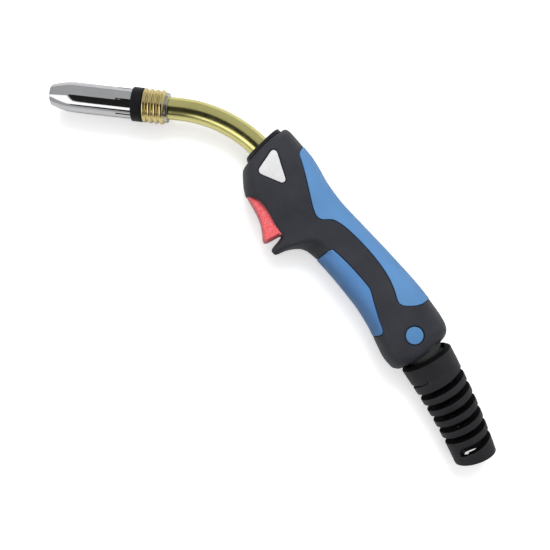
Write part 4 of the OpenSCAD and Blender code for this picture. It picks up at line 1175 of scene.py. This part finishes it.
def make_screws():
    """Pan-head screws with a hexagon socket, and the walls of their recesses in the right shell."""
    n = 48
    socket = np.array(hexagon(1.5, n))
    angles = [360 * k / n for k in range(n)]
    circle = np.array([(cos(a), sin(a)) for a in angles])
    seat, head, shank, socket_depth, tip_r = SCREW_SEAT_Z + 0.02, 1.95, 8, 1.15, 0.02
    bevel, wall_r, wall_low, shank_hole = 0.15, 4.2, 11.2, SCREW_R + 0.1
    screws, recesses = [], []
    for spot in SCREWS:
        def ring(radius, z):
            return level(spot + circle * np.broadcast_to(radius, n)[:, None], MID_Z - z)

        rings = [ring(tip_r, seat + head - socket_depth), ring(socket, seat + head - socket_depth),
                 ring(socket, seat + head - bevel), ring(socket + bevel, seat + head)]
        rings += [ring(SCREW_HEAD_R - inset, seat + head - drop)
                  for inset, drop in edge_steps(0.6, (0, 25, 50, 70, 90))]
        rings += [ring(SCREW_HEAD_R, seat), ring(SCREW_R, seat), ring(SCREW_R, seat - shank),
                  ring(tip_r, seat - shank)]
        screws.append(capped_solid(rings))
        top = float(skin_height(np.array([spot]))[0]) - 1.1
        recess = rounded([(SCREW_HOLE_R, top, 0), (wall_r, top, 0), (wall_r, wall_low, 0.3),
                          (shank_hole, wall_low, 0), (shank_hole, SCREW_SEAT_Z, 0),
                          (SCREW_HOLE_R, SCREW_SEAT_Z, 0.25)], 3)
        points, faces = turned(recess, n)
        flat, height = points[:, :2] + spot, points[:, 2]
        height = np.minimum(height, skin_height(flat) - 0.35 - 0.1 * (top - height))
        recesses.append((np.column_stack([flat, MID_Z - height]), faces))
    piece("shell_screws_fine", *merged(*screws), STEEL, "torch", ["shell_screws"], "screw_steel", 35)
    piece("screw_bosses", *merged(*recesses), SHELL_BLACK, "torch", [], "shell_black", 35)


make_nose_collar()
make_trigger()
make_screws()

# ---- Cable support and its ball ----

SUPPORT_ANGLE = REAR_ANGLE - SUPPORT_TILT
BALL_CENTRE = REAR - BALL_SETBACK * heading(REAR_ANGLE)
RIM_SETBACK = BALL_SETBACK + SUPPORT_GAP
SLOT_END_ANGLE = 360 * SLOT_TURNS + 14
BEND_RADIUS = (SUPPORT_LEN - SUPPORT_COLLAR) * 180 / (math.pi * SUPPORT_BEND)


def support_radius(t):
    return SUPPORT_FRONT_R + (SUPPORT_REAR_R - SUPPORT_FRONT_R) * t / SUPPORT_LEN


def outer_corner(z, round_r, inset=0.0):
    """Corner of a turned profile with its rounding, on the support's outer surface or inset from it."""
    return support_radius(z) - inset, z, round_r


def bent(points):
    """Points of the straight support, bent behind its collar."""
    x, y, z = points.T
    a = np.maximum(0, z - SUPPORT_COLLAR) / BEND_RADIUS
    out = y + BEND_RADIUS
    return np.stack([x, out * np.cos(a) - BEND_RADIUS, np.minimum(z, SUPPORT_COLLAR) + out * np.sin(a)], 1)


def on_support_axis(points):
    return placed(points, BALL_CENTRE, SUPPORT_ANGLE, SUPPORT_DROOP)


def in_support(points):
    return on_support_axis(bent(points) + np.array([0, 0, RIM_SETBACK]))


def slot_centre(f):
    """Place of the slot's middle along the axis, f degrees of turn behind its start."""
    a = f + SLOT_START_ANGLE
    return SUPPORT_COLLAR + SLOT_SHIFT + SLOT_PITCH * (f - 56) / 360 + SLOT_SLANT * cos(a)


def slot_half(f):
    return max(0.2, SLOT_W / 2 * min(1, f / SLOT_LEAD_IN, (SLOT_END_ANGLE - f) / 12))


def band_section(f):
    """Rounded section (r, z) of the band that winds between the turns of the slot."""
    front = SUPPORT_COLLAR - 1.6
    if f >= 360:
        widened = 1.3 * max(0.0, min(1.0, (f - 360 * SLOT_TURNS - 270) / 60))
        front = slot_centre(f - 360) + slot_half(f - 360) + widened
    back = slot_centre(f) - slot_half(f) if f < SLOT_END_ANGLE else SUPPORT_LEN - SUPPORT_END + 1.6
    bore = BAND_BORE_R
    edge = min(0.45, (back - front) / 3)
    return rounded([(bore, front, edge / 2), outer_corner(front, edge, 0.05), outer_corner(back, edge, 0.05),
                    (bore, back, edge / 2)], 4)


def make_band():
    """Points and faces of the band, and for each face whether it is an inner one, which gets the near-black
    rubber of painted shade.
    """
    rings = []
    for f in np.arange(0, SLOT_END_ANGLE + 346, 5):
        section = band_section(f)
        a = f + SLOT_START_ANGLE
        rings.append(np.stack([section[:, 0] * cos(a), section[:, 0] * sin(a), section[:, 1]], 1))
    points, faces = capped_solid(rings)
    n = len(rings[0])
    # faces on the slot walls and the bore take the near-black rubber: painted shade
    inner = [0 if n // 4 <= j % n < 3 * n // 4 - 1 else 1 for j in range(len(faces) - 2)] + [1, 1]
    return in_support(points), faces, inner


def ring_is_inner(points, face):
    """Whether a face of a turned ring is clear of the ring's outer surface."""
    centre = np.mean([points[i] for i in face], axis=0)
    return math.hypot(centre[0], centre[1]) < support_radius(centre[2]) - 0.5


def make_support():
    """Rubber support: its collar on the ball's tail, the wound band and the end ring, as one piece."""
    bore = SUPPORT_FRONT_R - SUPPORT_WALL
    lip_r, bevel, flare = bore - 0.6, 2.4, 3.2
    collar_end = SUPPORT_COLLAR - 0.9
    collar = rounded([(lip_r, 0.8, 0.2), (bore, 0, 0.1), outer_corner(0, 0.3, bevel),
                      outer_corner(bevel, 0.4), outer_corner(SUPPORT_COLLAR / 2, 0),
                      outer_corner(collar_end, 0.1), (BAND_BORE_R - 0.1, collar_end, 0.2),
                      (lip_r, SUPPORT_COLLAR - 2.3, 0.1)], 5)
    start, last = SUPPORT_LEN - SUPPORT_END + 1.2, SUPPORT_LEN - 0.9
    end = rounded([(CABLE_BORE_R, start + 1, 0.2), outer_corner(start, 0.2, SUPPORT_WALL),
                   outer_corner(start, 0.2), outer_corner(SUPPORT_LEN - 5, 0), outer_corner(last, 1.8),
                   (CABLE_BORE_R + flare, last, 0.3), (CABLE_BORE_R, last - 7, 1.5)], 6)
    rings = [turned(collar, 120), turned(end, 120)]
    # inner faces of the collar, band and end ring take the near-black rubber: painted shade in the slots and
    # the bore
    inner = [int(ring_is_inner(p, face)) for p, faces in rings for face in faces]
    *band, band_shade_faces = make_band()
    points, faces = merged(*[(in_support(p), f) for p, f in rings], band)
    piece("cable_support_fine", points, faces, [RUBBER, RUBBER_PAINTED_SHADE], "support", ["cable_support"],
          "support_rubber", 50, inner + band_shade_faces)


def make_knuckle():
    """Ball with a short neck that runs into the support."""
    throat_z = 10.0
    throat = math.sqrt(BALL_R ** 2 - throat_z ** 2)
    tail_r = SUPPORT_FRONT_R - SUPPORT_WALL - 0.75
    tail = RIM_SETBACK + 3
    tail_end, bevel = tail + 9, 0.4
    ball_end = math.degrees(math.asin(throat_z / BALL_R))
    ball = [(BALL_R * cos(a), BALL_R * sin(a)) for a in np.linspace(-36.8, ball_end, 40)]
    profile = [(BALL_BORE_R + 2.5, -9.0), *ball, (throat - 0.2, tail - 0.6), (tail_r - bevel, tail),
               (tail_r, tail + bevel), (tail_r, tail_end - bevel), (tail_r - bevel, tail_end),
               (BALL_BORE_R, tail_end), (BALL_BORE_R, -4)]
    points, faces = turned(profile)
    piece("ball_knuckle_fine", on_support_axis(points), faces, BALL_BLACK, "support", ["ball_knuckle"],
          "ball_black", 35)


make_support()
make_knuckle()
